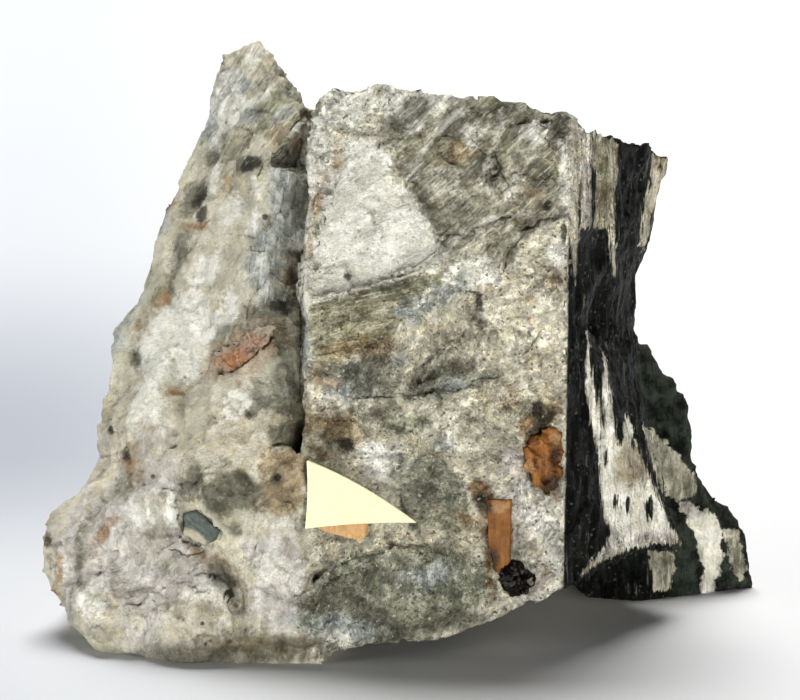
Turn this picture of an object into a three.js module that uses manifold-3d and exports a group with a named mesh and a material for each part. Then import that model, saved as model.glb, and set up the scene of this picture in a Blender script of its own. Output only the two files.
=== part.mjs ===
// A hand-sized piece of coarse feldspar rock with brown lavenite crystals set in its front face,
// a black crystal-lined wall on its right, a spire behind its left shoulder and a paper pointer
// stuck over one of the crystals. Millimetres, +Z up, the front faces -Y.
//
// The rock was broken out of one lump, so it is laid out as the flat-sided blocks that its
// fracture faces bound, which are joined, worn a little, and cut flat where it rests.
// Every outline is given as an eye sees it from the front and 12 degrees above the table:
// [right of the middle, up from the front foot, depth behind the middle].

import * as THREE from "three";
import { ConvexGeometry } from "three/addons/geometries/ConvexGeometry.js";
import { ImprovedNoise } from "three/addons/math/ImprovedNoise.js";
import { mergeVertices } from "three/addons/utils/BufferGeometryUtils.js";
import Module from "manifold-3d";

// Driving dimensions.
const ROCK_WIDTH = 60; // as drawn below, left foot to right lobe
const EYE_RISE = THREE.MathUtils.degToRad(12);
const FOOT_DEPTH = -16; // depth of the foremost point of the foot
const LONGEST_EDGE = 3.6; // of a facet of the worn surface
const PLATE_ROOT = 4; // how far a plate of the relief goes into the rock
const SEAT_GAP = 0.3; // between a crystal and the socket it sits in
const CRYSTAL_BEVEL = 0.18;
const CRYSTAL_FRONT = 0.88; // size of a crystal's front face, against its widest outline
const PAPER_THICKNESS = 0.35;
const PAPER_BED_DEPTH = 6; // of rock cleared in front of the paper
const BALL_DETAIL = 2;
const TABLE_THICKNESS = 10;
const SIGHT_START = -60; // depth where a line of sight starts, well in front of the rock

const wasm = await Module();
wasm.setup();

// The place that an eye at the front sees at [right, up], at that depth.
function seen([right, up, depth]) {
  const rise = up - (depth - FOOT_DEPTH) * Math.sin(EYE_RISE);
  return new THREE.Vector3(right, depth, rise / Math.cos(EYE_RISE));
}

// A closed geometry as a solid that can be joined and cut.
function solidOf(geometry) {
  const bare = geometry.clone();
  bare.deleteAttribute("normal");
  bare.deleteAttribute("uv");
  const merged = mergeVertices(bare, 1e-4);
  return new wasm.Manifold(
    new wasm.Mesh({
      numProp: 3,
      vertProperties: new Float32Array(merged.attributes.position.array),
      triVerts: new Uint32Array(merged.index.array),
    }),
  );
}

// A solid back as a three.js geometry.
function geometryOf(solid) {
  const mesh = solid.getMesh();
  const geometry = new THREE.BufferGeometry();
  geometry.setAttribute("position", new THREE.BufferAttribute(mesh.vertProperties, 3));
  geometry.setIndex(new THREE.BufferAttribute(mesh.triVerts, 1));
  geometry.computeVertexNormals();
  return geometry;
}

// The flat-sided block that its corners bound.
function block(corners) {
  return solidOf(new ConvexGeometry(corners.map(seen)));
}

const join = (solids) => solids.reduce((whole, next) => whole.add(next));

// The tall centre block: its front is the bright cleavage face, its left side the step down
// to the shoulder, and its right side falls away as the black wall.
const centreBlock = [
  [-7.1, 47.7, -4.5], [-5.5, 49.0, -5.5], [-3.6, 48.8, -6], [2.7, 47.1, -7.5],
  [8.9, 46.4, -9], [14.5, 46.8, -10.5], [14.4, 26, -12.6], [14.1, 5.7, -13.4],
  [6.1, 2.9, -14.5], [-7.5, 0.5, -15.5], [-7.9, 18, -13], [-8.0, 31, -10.6],
  [19.8, 35, 8], [19.8, 24, 8], [18.5, 11, 7],
  [-4, 42, 11], [9, 41, 13], [17, 39.6, 12], [-4, 20, 17], [16, 20, 16],
  [14, 9.6, 15], [-6, 8, 16],
];

// The sharp corner that the top of the wall runs out to.
const topCorner = [
  [15.3, 45.0, -8.9], [17.1, 44.2, -5], [20.2, 43.4, 2],
  [23.1, 43.7, 8], [22.6, 41.2, 8.2], [19.8, 33.9, 7.8], [19.7, 27, 7.6],
  [14.4, 36, -11.8], [14.1, 27, -12.2], [12, 42, 6], [12, 30, 8], [19, 40, 13], [17, 32, 12],
];

// The foot of the wall flares out to a ledge over a hollow.
const wallSkirt = [
  [14.1, 30, -12.0], [14.3, 20, -12.8], [14.1, 6.1, -13.3], [15.2, 6.3, -11.5], [18, 8.9, -6],
  [20.5, 10, -2], [23.9, 9.8, 3], [24.1, 11.2, 3.3], [22.2, 14.8, 4.5],
  [20.7, 20, 5.6], [19.8, 29, 6.8], [12, 26, 9], [12, 11, 9], [20, 13, 9],
];

// The back right of the rock runs out to a lobe of black crystals that it also rests on.
const backLobe = [
  [20.3, 26.6, 12], [22.5, 24.7, 12.5], [24.8, 22.0, 12.5], [24.7, 19.4, 12],
  [25.5, 16.4, 11.6], [27.0, 10, 10.9], [27.4, 5.9, 10.2],
  [25.6, 5.1, 9.4], [21.4, 4.4, 7.2], [17.1, 4.7, 8.5], [15.3, 5.8, 10],
  [16, 31, 14], [10, 33, 16], [20, 24, 18.6], [26, 16, 17.6], [27, 7.2, 17],
  [17, 8, 19.6], [6, 16, 19.4], [10, 8, 16], [8, 30, 8], [10, 10, 8],
];
const lobeToe = [
  [26.1, 16.8, 12], [28.6, 14.2, 12], [30.6, 11.4, 12], [31.0, 8.4, 12], [30.3, 6.2, 11.8],
  [26.8, 14.4, 11.3], [28.9, 11.4, 11], [29.0, 8, 10.6], [27, 5.4, 10.3], [24, 6, 12], [24, 13, 14], [28.2, 11, 16], [28, 6.8, 16.4], [24, 7, 17],
];

// The left shoulder and flank, set back behind the step, turning away to the left. Beside the
// step it sinks into a trough.
const leftFlank = [
  [-18.2, 41.8, 7], [-20.5, 36.7, 5.5], [-21.8, 32.5, 4.5], [-23.4, 29.1, 3.5],
  [-25.1, 25.2, 2], [-25.5, 22.3, 1.5], [-25.5, 18, 0.5], [-24.6, 13, -2],
  [-10.8, 35, -6.2], [-10.2, 22, -11.0], [-13, 12, -12.8], [-9.6, 41.8, -2.4], [-13, 43, 1.2],
  [-7.2, 41, -0.6], [-7.2, 31, -5.6], [-7.2, 22, -9.4],
  [-17, 39, 13], [-21, 28, 12], [-22.6, 20, 12], [-4, 42, 9], [-2, 20, 16],
  [-19, 12, 14], [-6, 12, 17],
];

// The broad foot at the lower left.
const leftFoot = [
  [-25.6, 17.0, 0], [-27.6, 14.8, -1], [-29.4, 12.8, -2.4], [-30.2, 9.6, -4], [-29.8, 6, -5.6],
  [-28.2, 3.8, -8], [-26.0, 1.8, -10.6], [-22.6, 0.2, -13.8], [-14.2, -0.7, -16],
  [-6, -0.5, -15.6], [-5, 17, -13.3], [-13.6, 18.6, -11.9], [-21, 18.6, -7.4],
  [-27.4, 5.0, 6], [-25.4, 14, 9], [-18, 5.2, 13], [-4, 5.6, 15.4], [-4, 16, 15],
];

// Rounded lumps that swell out of the foot, each [right, up, depth, half width, half height,
// half depth].
const footLumps = [
  [-25.6, 9.2, -3.0, 4.6, 5.6, 5.0],
  [-22.6, 3.8, -8.2, 5.6, 4.2, 5.4],
  [-16.6, 3.4, -11.2, 5.2, 4.2, 5.4],
  [-21.4, 11.0, -6.4, 5.0, 4.6, 4.0],
  [-9.4, 4.2, -11.2, 5.8, 4.4, 5.6],
];

// The spire behind the shoulder.
const spire = [
  [-12.2, 53.2, 8], [-13.2, 53.0, 9], [-14.9, 51.8, 9.4], [-16.1, 48.4, 9], [-18.2, 41.6, 7.4],
  [-10.7, 50.6, 7.4], [-9.3, 49.8, 6.6], [-7.8, 47.6, 5.4], [-7.9, 45.4, 2.6], [-10.6, 42.6, 0.9],
  [-14.4, 40.6, 2.0], [-14.6, 47, 13], [-11.8, 48.6, 12], [-16, 39, 14], [-8, 42, 12],
];

// The saddle between the spire and the centre block.
const saddle = [
  [-9.6, 46.7, 5], [-7.4, 46.4, 3.2], [-4, 46.9, 1.6], [-4, 45.4, 9], [-9.6, 45.6, 10],
  [-9.4, 40, 0], [-4, 40, -2], [-4, 38, 10], [-10, 38, 10],
];

// A second leaf of the spire, in front of its right side.
const spireLeaf = [
  [-9.6, 49.8, 5.6], [-7.7, 47.4, 4.2], [-8.4, 45.6, 0.8], [-11.4, 42.0, -0.8],
  [-14.4, 41.0, 0.4], [-12.6, 44.8, 2.2], [-10.8, 48, 4.6], [-9, 43, 8],
];

// Fracture faces that close the back, leaning different ways.
const backFaces = [
  [
    [-15, 39, 11.6], [-5, 43, 11.4], [7, 42.4, 12.4], [15, 37, 13.4], [3, 34, 18.4], [-8, 33, 18.2],
    [-14.5, 30, 15.6], [12, 27, 17.6], [0, 25, 18.4], [-8, 36, 4], [8, 36, 4], [0, 24, 8],
  ],
  [
    [-21.6, 27, 11.4], [-14, 31, 14.4], [-8, 29, 18.6], [-4, 20, 20.6], [-9, 14, 20.2],
    [-2, 9, 16.2], [-12, 6.6, 15.4], [-21.6, 12, 11.2], [-4, 26, 8], [-18, 20, 4], [-4, 10, 8],
  ],
  [
    [1, 31, 17.2], [13, 29, 15.6], [9, 22, 19.6], [15, 14, 18.4], [4, 13, 20.2], [2, 8, 16.4],
    [-5, 17, 18.2], [6, 28, 6], [14, 14, 8], [2, 12, 8],
  ],
];

// Relief of the front, each [right, up, how far that corner stands out of the face]. A corner
// below the face lets the plate run out into it without an edge.
const faceRelief = [
  // The white plate left on the upper left, over the older cleavage.
  [[-4.5, 44.4, 0], [0.1, 43.5, 0.2], [2.3, 39.3, 0.7], [3.5, 34, 0.7], [-7.4, 30.8, 0.6], [-6.5, 38, 0.7]],
  // The banded crystal, a ledge that runs up to the right.
  [[-7.7, 30.8, 1.7], [3.5, 33.9, 1.5], [9.1, 37.4, 0.9], [11.4, 34, -0.5], [6.1, 26.2, -0.5], [0.1, 22.2, -0.5], [-7.4, 22.0, 0.3]],
  // Grey cleavage steps beside the plate and up to the wall's edge.
  [[-2.2, 46.6, -0.2], [5.6, 46.8, 0.4], [7.4, 42.7, 1.0], [8.6, 39.3, 0.6], [4.2, 35.4, -0.3], [1.2, 40.6, 0.1]],
  [[8.2, 45.6, 1.0], [13.4, 46.2, 0.5], [13.9, 41, 0.5], [11.4, 37.6, 0.2], [9.0, 38.6, 0.5], [7.9, 42, 0.4]],
  [[10.2, 36.4, 0.5], [13.9, 38.2, 0.6], [14.0, 27.4, 0.1], [9.6, 27.2, -0.4], [7.6, 31.0, 0.1]],
  // The rough middle of the face.
  [[-7.4, 21.2, 0.2], [-1.6, 23.0, 0.7], [5.2, 20.8, 0.6], [9.8, 23.4, 0.3], [12.4, 20.2, -0.4], [4.0, 15.2, -0.4], [-3.6, 16.8, -0.2]],
  // The green-grey swelling between the pointer and the bottom edge.
  [[-9.6, 4.6, 0.4], [-5.8, 8.2, 0.9], [0.1, 10.2, 1.2], [4.4, 9.4, 0.7], [6.6, 5.8, -0.2], [1.8, 2.8, 0.2], [-5.8, 1.4, 0.3]],
  // The pale shelf that carries the lower right crystals.
  [[5.8, 18.0, -0.3], [11.0, 19.6, 0.4], [13.8, 18.4, 0.2], [13.9, 6.4, 0.2], [9.0, 5.4, 0.3], [6.4, 9.6, 0.1]],
];
const flankRelief = [
  // The pale ridge that runs down the flank, and the shelf under the streak crystal.
  [[-14.2, 38.6, 0.3], [-11.4, 34.6, 0.9], [-12.8, 28.6, 0.8], [-16.4, 24.2, 0.2], [-18.8, 29.4, 0.3], [-17.4, 35.8, 0.4]],
  [[-17.4, 23.6, 0.5], [-10.2, 27.6, 0.5], [-8.8, 21.6, 0.6], [-12.0, 17.4, 0.3], [-19.4, 17.8, 0.4]],
  [[-24.4, 22.6, 0.2], [-19.8, 26.4, 0.6], [-18.0, 20.2, 0.7], [-20.0, 15.6, 0.4], [-24.6, 15.8, 0.3]],
];
const footRelief = [
  // Flat cleavage faces and the big toe, whose right side drops into a slot.
  [[-21.8, 14.8, 0.7], [-18.4, 15.0, 0.8], [-18.2, 10.6, 0.7], [-22.4, 9.0, 0.5], [-24.6, 12.0, 0.2]],
  [[-21.0, 6.4, 0.3], [-16.6, 7.6, 0.9], [-13.9, 6.0, 1.2], [-13.5, 2.6, 0.9], [-16.6, 0.8, 0.3], [-21.2, 1.4, 0.2]],
  [[-12.0, 12.4, 0.3], [-8.6, 13.6, 0.5], [-7.4, 6.0, 0.5], [-11.8, 1.8, 0.4], [-13.0, 7.0, 0.2]],
];

// Cuts: the slot beside the big toe, a pocket in the shoulder, and the hollow under the ledge.
const footSlot = [
  [-14.0, 7.4, -20], [-13.2, 6.6, -20], [-12.9, 2.6, -20], [-13.7, 4.6, -20], [-13.3, 5.4, -11.4],
];
const shoulderPocket = [
  [-11.6, 38.8, -9], [-10.8, 38.2, -9], [-11.0, 36.8, -9], [-11.7, 37.4, -9], [-11.3, 37.8, 1],
];
const hollowMouth = [
  [15.6, 5.2, -14], [18.6, 8.0, -14], [25, 9.0, -14], [27, 4, -14], [15.6, 1, -14],
  [16.0, 7.4, 5.6], [21, 10, 6.2], [25.6, 8.6, 5.4], [22, 3.4, 5.4],
];

// A rounded lump: an ellipsoid with few facets.
function lump([right, up, depth, halfWidth, halfHeight, halfDepth]) {
  const ball = new THREE.IcosahedronGeometry(1, BALL_DETAIL);
  ball.scale(halfWidth, halfDepth, halfHeight);
  const at = seen([right, up, depth]);
  ball.translate(at.x, at.y, at.z);
  return solidOf(ball);
}

// Splits every edge longer than the limit at its middle, the longest of a facet first, so that
// two facets that share an edge always split it alike.
function refine(geometry, limit) {
  const source = geometry.toNonIndexed().getAttribute("position");
  const corners = [];
  const pending = [];
  for (let i = 0; i < source.count; i += 3)
    pending.push([0, 1, 2].map((k) => new THREE.Vector3().fromBufferAttribute(source, i + k)));
  while (pending.length) {
    const [a, b, c] = pending.pop();
    const [ab, bc, ca] = [a.distanceTo(b), b.distanceTo(c), c.distanceTo(a)];
    const longest = Math.max(ab, bc, ca);
    if (longest <= limit) {
      corners.push(a, b, c);
      continue;
    }
    const [p, q, r] = longest === ab ? [a, b, c] : longest === bc ? [b, c, a] : [c, a, b];
    const middle = p.clone().add(q).multiplyScalar(0.5);
    pending.push([p, middle, r], [middle, q, r]);
  }
  return new THREE.BufferGeometry().setFromPoints(corners);
}

// Wear: every point of the surface is shifted by smooth noise, so that flat fracture faces
// become slightly uneven and straight edges become ragged. The back is the roughest.
const WEAR = [
  { size: 15, shift: 2.4, seed: 8.1, backOnly: true },
  { size: 8.5, shift: 0.75, seed: 3.7 },
  { size: 3.4, shift: 0.8, seed: 11.3 },
];
const noise = new ImprovedNoise();
function wear(geometry) {
  const place = geometry.getAttribute("position");
  const p = new THREE.Vector3();
  for (let i = 0; i < place.count; i++) {
    p.fromBufferAttribute(place, i);
    const atBack = THREE.MathUtils.smoothstep(p.y, 4, 16);
    const moved = p.clone();
    for (const { size, shift, seed, backOnly } of WEAR) {
      const [x, y, z] = [p.x / size + seed, p.y / size + seed, p.z / size + seed];
      const reach = shift * (backOnly ? atBack : 1);
      moved.x += reach * noise.noise(x, y, z);
      moved.y += reach * noise.noise(y + 31.4, z, x);
      moved.z += reach * noise.noise(z, x + 17.2, y);
    }
    place.setXYZ(i, moved.x, moved.y, moved.z);
  }
  return geometry;
}

// Where the eye's line at [right, up] first meets a solid.
const lineOfSight = new THREE.Vector3(0, Math.cos(EYE_RISE), -Math.sin(EYE_RISE));
function viewOnto(solid) {
  const shape = new THREE.Mesh(geometryOf(solid), new THREE.MeshStandardMaterial());
  const sight = new THREE.Raycaster();
  return (right, up) => {
    sight.set(seen([right, up, SIGHT_START]), lineOfSight);
    const [hit] = sight.intersectObject(shape);
    if (!hit) throw new Error(`the rock shows nothing at ${right}, ${up}`);
    return hit.point;
  };
}

// A plate that stands out of a solid's front.
function plateOn(onSolid, corners) {
  const points = corners.flatMap(([right, up, proud]) => {
    const hit = onSolid(right, up);
    return [
      hit.clone().addScaledVector(lineOfSight, -proud),
      hit.clone().addScaledVector(lineOfSight, PLATE_ROOT),
    ];
  });
  return solidOf(new ConvexGeometry(points));
}

// The whole rock before its crystals' sockets are cut.
function makeRock() {
  const blocks = [
    centreBlock, topCorner, wallSkirt, backLobe, lobeToe, leftFlank, leftFoot, spire, spireLeaf,
    saddle, ...backFaces,
  ].map(block);
  const cuts = [footSlot, shoulderPocket, hollowMouth].map(block);
  const body = join([...blocks, ...footLumps.map(lump)]);
  const onBody = viewOnto(body);
  const plates = [...faceRelief, ...flankRelief, ...footRelief].map((c) => plateOn(onBody, c));
  const broken = join([body, ...plates]).subtract(join(cuts));
  const worn = solidOf(wear(refine(geometryOf(broken), LONGEST_EDGE)));
  const table = new THREE.BoxGeometry(2 * ROCK_WIDTH, 2 * ROCK_WIDTH, TABLE_THICKNESS);
  table.translate(0, 0, -TABLE_THICKNESS / 2);
  return worn.subtract(solidOf(table));
}

let rock = makeRock();
const onFace = viewOnto(rock);

// The crystals. An outline is [right, up] corners around the crystal's own middle, at [right,
// up] on the face. Its flat front stands out by `proud`, and its root goes in by `root`.
const crystals = {
  lavenite_prism: {
    at: [8.5, 10.9], proud: 0.45, root: 3.2, taper: 0.9,
    outline: [[-0.95, 3.1], [1.0, 3.1], [0.9, -2.1], [0.4, -3.1], [-0.3, -3.1], [-0.85, -0.6]],
  },
  lavenite_wedge: {
    at: [12.2, 17.2], proud: 0.4, root: 3.2, taper: 0.7,
    outline: [[-1.9, 1.0], [-0.2, 2.7], [1.5, 2.5], [1.45, -1.2], [0.4, -3.1], [-0.5, -1.4], [-1.7, -0.3]],
  },
  lavenite_under_pointer: {
    at: [-4.6, 11.1], proud: 0.3, root: 2.4, taper: 0.8,
    outline: [[-2.8, 0.5], [-2.2, 1.0], [2.1, 1.0], [1.8, -0.65], [-0.9, -0.05]],
  },
  lavenite_streak: {
    at: [-13.0, 26.4], proud: 0.3, root: 2.2, taper: 0.6,
    outline: [[-3.4, -0.5], [-1.2, 0.5], [1.4, 2.1], [3.3, 2.2], [2.7, 0.9], [0.4, -0.6], [-1.4, -2.0], [-2.6, -1.8]],
  },
  aegirine_knot: {
    at: [9.9, 7.3], proud: 0.9, root: 2.0, taper: 0.75,
    outline: [[-1.7, 0.5], [-0.5, 1.5], [0.6, 0.9], [1.4, 0.3], [1.5, -0.5], [0.8, -1.3], [-0.7, -1.2], [-1.2, -0.6]],
  },
  blue_grey_crystal: {
    at: [-16.6, 11.5], proud: 0.35, root: 2.0, taper: 0.85,
    outline: [[-1.6, 1.2], [-0.4, 1.5], [1.6, -0.2], [1.2, -1.1], [0.3, -1.5], [-1.6, -0.5]],
  },
};

// The direction that the face looks in around a place on it, from three near places.
function facing([right, up], reach) {
  const below = up - 0.6 * reach;
  const [a, b, c] = [
    onFace(right - reach, below),
    onFace(right + reach, below),
    onFace(right, up + reach),
  ];
  return b.sub(a).cross(c.sub(a)).normalize();
}

// A crystal: its front face lies along the rock's face, and it narrows towards its root.
// `grow` widens it all round, which makes the socket that it sits in.
function crystalGeometry({ at, proud, root, taper, outline }, grow = 0) {
  const reach = Math.max(...outline.flat().map(Math.abs)) * 0.6;
  const out = facing(at, reach);
  const seat = onFace(...at);
  const right = new THREE.Vector3(1, 0, 0).addScaledVector(out, -out.x).normalize();
  const up = out.clone().cross(right);
  const corner = ([x, y], scale, lift) => {
    const length = Math.hypot(x, y);
    const stretch = (scale * length + grow) / length;
    return seat.clone()
      .addScaledVector(right, x * stretch)
      .addScaledVector(up, y * stretch)
      .addScaledVector(out, lift);
  };
  const points = [
    ...outline.map((p) => corner(p, CRYSTAL_FRONT, proud + grow)),
    ...outline.map((p) => corner(p, 1, proud - CRYSTAL_BEVEL)),
    ...outline.map((p) => corner(p, taper, -root - grow)),
  ];
  return new ConvexGeometry(points);
}

// The paper pointer: a bowed triangle whose tip points right, lying just clear of the face.
// Its place is that of its lower left corner. Its edges bow out or in by the bulges given as
// shares of its height, and it lies along the face below its middle.
const pointer = {
  corner: [-7.85, 11.5], height: 5.9, length: 9.5, lift: 0.5, tipRise: 0.55, middleShare: 0.35,
  topBulge: 0.7, bottomBulge: 0.11,
};
function pointerGeometry(grow = 0) {
  const { height, length, tipRise, topBulge, bottomBulge } = pointer;
  const outline = new THREE.Shape();
  outline.moveTo(-grow, -grow);
  outline.quadraticCurveTo(length / 2, height * bottomBulge - grow, length + 2 * grow, tipRise);
  outline.quadraticCurveTo(length / 2, height * topBulge + grow, 0.15 - grow, height + grow);
  outline.quadraticCurveTo(0.35, height / 2, -grow, -grow);
  const sheet = new THREE.ExtrudeGeometry(outline, {
    depth: PAPER_THICKNESS + (grow ? PAPER_BED_DEPTH : 0), bevelEnabled: false, curveSegments: 8,
  });
  const [across, upwards] = [length, height].map((size) => size * pointer.middleShare);
  const middle = [pointer.corner[0] + across, pointer.corner[1] + upwards];
  const out = facing(middle, 2.2);
  const right = new THREE.Vector3(1, 0, 0).addScaledVector(out, -out.x).normalize();
  const up = out.clone().cross(right);
  const corner = onFace(...middle)
    .addScaledVector(right, -across)
    .addScaledVector(up, -upwards)
    .addScaledVector(out, pointer.lift - grow);
  return sheet.applyMatrix4(new THREE.Matrix4().makeBasis(right, up, out).setPosition(corner));
}

// Sockets for the crystals and a flat bed for the paper.
const crystalSolids = {};
const paper = solidOf(pointerGeometry());
const paperBed = solidOf(pointerGeometry(SEAT_GAP));
for (const [name, crystal] of Object.entries(crystals)) {
  rock = rock.subtract(solidOf(crystalGeometry(crystal, SEAT_GAP)));
  crystalSolids[name] = solidOf(crystalGeometry(crystal));
}
rock = rock.subtract(paperBed);
crystalSolids.lavenite_under_pointer = crystalSolids.lavenite_under_pointer.subtract(paperBed);
crystalSolids.aegirine_knot = crystalSolids.aegirine_knot.subtract(
  solidOf(crystalGeometry(crystals.lavenite_prism, SEAT_GAP)),
);

// Finishes, as the eye takes them from a step away.
const finish = (color, roughness) => new THREE.MeshStandardMaterial({ color, roughness, metalness: 0 });
const finishes = {
  rock_matrix: finish(0xb9b5a6, 0.75),
  lavenite_prism: finish(0xb5722f, 0.4),
  lavenite_wedge: finish(0xa5612c, 0.45),
  lavenite_under_pointer: finish(0xc58a55, 0.5),
  lavenite_streak: finish(0xb07a62, 0.6),
  aegirine_knot: finish(0x241a14, 0.4),
  blue_grey_crystal: finish(0x6d8084, 0.5),
  paper_pointer: finish(0xeee9c4, 0.85),
};

const specimen = new THREE.Group();
specimen.name = "lavenite_specimen";
function addPiece(name, solid) {
  const mesh = new THREE.Mesh(geometryOf(solid), finishes[name]);
  mesh.name = name;
  specimen.add(mesh);
}
addPiece("rock_matrix", rock);
for (const [name, solid] of Object.entries(crystalSolids)) addPiece(name, solid);
addPiece("paper_pointer", paper);

// The origin is the middle of the outline, on the table.
const outlineBox = new THREE.Box3().setFromObject(specimen);
const middle = outlineBox.getCenter(new THREE.Vector3());
specimen.position.set(-middle.x, -middle.y, -outlineBox.min.z);

export default specimen;
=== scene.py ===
"""A lavenite specimen: coarse feldspar rock with brown lavenite crystals, a black aegirine wall
and a small paper pointer, on a pale floor in soft studio light.

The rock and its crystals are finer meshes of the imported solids: the solid's surface is remeshed,
broken up into grains, strokes, cracks and pits, and carries the depth of every mineral patch as
a value at each vertex, which the materials break up into ragged outlines.

Places on the rock are in millimetres as an eye sees them from the front and 12 degrees above the
table: [right of the middle, up from the front foot]. Depths are behind the middle.
"""

import math

import bmesh
import bpy
import numpy as np
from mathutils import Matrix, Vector, kdtree, noise


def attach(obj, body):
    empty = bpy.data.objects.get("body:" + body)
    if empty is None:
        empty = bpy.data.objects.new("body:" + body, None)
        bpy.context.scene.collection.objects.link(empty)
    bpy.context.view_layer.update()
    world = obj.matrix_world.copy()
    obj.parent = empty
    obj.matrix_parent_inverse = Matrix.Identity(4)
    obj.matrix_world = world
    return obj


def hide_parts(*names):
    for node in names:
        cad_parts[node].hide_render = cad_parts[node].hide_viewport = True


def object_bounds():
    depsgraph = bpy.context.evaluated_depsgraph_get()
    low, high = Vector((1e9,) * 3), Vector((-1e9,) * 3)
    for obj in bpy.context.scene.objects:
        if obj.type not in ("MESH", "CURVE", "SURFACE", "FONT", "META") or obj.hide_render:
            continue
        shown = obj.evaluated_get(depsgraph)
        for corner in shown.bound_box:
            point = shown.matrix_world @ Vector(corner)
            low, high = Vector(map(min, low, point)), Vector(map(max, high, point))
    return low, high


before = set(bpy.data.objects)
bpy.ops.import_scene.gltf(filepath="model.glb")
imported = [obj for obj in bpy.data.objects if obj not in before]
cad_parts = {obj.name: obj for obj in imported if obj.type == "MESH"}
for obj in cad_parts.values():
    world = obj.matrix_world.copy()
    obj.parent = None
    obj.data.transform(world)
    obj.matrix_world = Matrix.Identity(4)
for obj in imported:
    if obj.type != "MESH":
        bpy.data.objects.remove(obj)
cad_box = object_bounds()

MM = 0.001
# The rock's grains of cleavage, and the seeds that make every run the same.
CLEAVAGE_GRAINS = 520
CLEAVAGE_SEED = 41
SPOTS_SEED = 60
NOISE_SEED = 7
noise.seed_set(NOISE_SEED)

# The photograph and the view that it was taken from.
PHOTO_WIDTH, PHOTO_HEIGHT = 800, 700
MIDDLE_COLUMN = 398.5  # pixel column of the drawing's middle
FOOT_ROW = 662  # pixel row of the front foot
PIXEL = 0.085  # millimetres on the rock that one pixel spans
EYE_RISE = math.radians(12)
EYE_DISTANCE = 800.0
AIM_DEPTH = -4.0
FOOT_DEPTH = -16.0
DRAWN_FROM_FRAME = np.array([0.19, 2.40, 0.0])  # the drawing's middle isn't the outline's
SIGHT = np.array([0.0, math.cos(EYE_RISE), -math.sin(EYE_RISE)])

# The rock's fine mesh.
ROCK_GRID = 0.22
ROCK_FACES = 190_000
CRYSTAL_GRID = 0.12
# The rock closes the gaps round its crystals. How far each crystal is sunk below its solid.
SOCKET_FILL = 0.45
FILL_SUNK = 0.75
SUNK = {
    "lavenite_prism": 0.35, "lavenite_wedge": 0.35, "lavenite_under_pointer": 0.25,
    "lavenite_streak": 0.4, "aegirine_knot": 0.75, "blue_grey_crystal": 0.35,
}
OUTSIDE = -2.5  # how far outside a patch its depth is followed
# How far the broken surface lies within the solid's, and how far it goes in and out.
SURFACE_SINK = 0.15
DEEPEST = 1.6
HIGHEST = 0.3
SEAT_DEPTH = 0.5


# Places and shapes


def seen(points):
    """Right, up and depth, as the eye sees them, of points in the frame in metres."""
    drawn = points / MM + DRAWN_FROM_FRAME
    up = drawn[:, 2] * math.cos(EYE_RISE) + (drawn[:, 1] - FOOT_DEPTH) * math.sin(EYE_RISE)
    return drawn[:, 0], up, drawn[:, 1]


def in_frame(right, up, depth):
    """The point in the frame, in metres, that the eye sees at right and up, at that depth."""
    rise = (up - (depth - FOOT_DEPTH) * math.sin(EYE_RISE)) / math.cos(EYE_RISE)
    return Vector((np.array([right, depth, rise]) - DRAWN_FROM_FRAME) * MM)


def smooth_step(value, low, high):
    """0 below low, 1 above high, and a smooth rise between."""
    share = np.clip((value - low) / (high - low), 0, 1)
    return share * share * (3 - 2 * share)


def ripple(points, size, seed, octaves=2):
    """Smooth noise from about -1 to 1 at each point, with waves of that size."""
    shift = Vector((seed, 1.7 * seed, 0.6 * seed))
    return np.array([noise.fractal(Vector(p) / size + shift, 1, 2, octaves) for p in points.tolist()])


def broken_facets(points, size, slope, seed, warp=0.35):
    """Height in mm of a surface broken into flat facets of that size, tilted by up to a slope."""
    shift = Vector((seed, 2.3 * seed, 1.1 * seed))
    heights = []
    for p in points.tolist():
        place = Vector(p) / size + shift
        place += warp * noise.noise_vector(place * 1.3)
        grain = noise.voronoi(place)[1][0]
        tilt = noise.cell_vector(grain * 13.7) - Vector((0.5, 0.5, 0.5))
        heights.append((place - grain).dot(tilt))
    return 2 * slope * size * np.array(heights)


def turned(right, up, angle):
    """Right and up in axes turned by that many radians: along it and across it."""
    return (
        right * np.cos(angle) + up * np.sin(angle),
        up * np.cos(angle) - right * np.sin(angle),
    )


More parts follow.
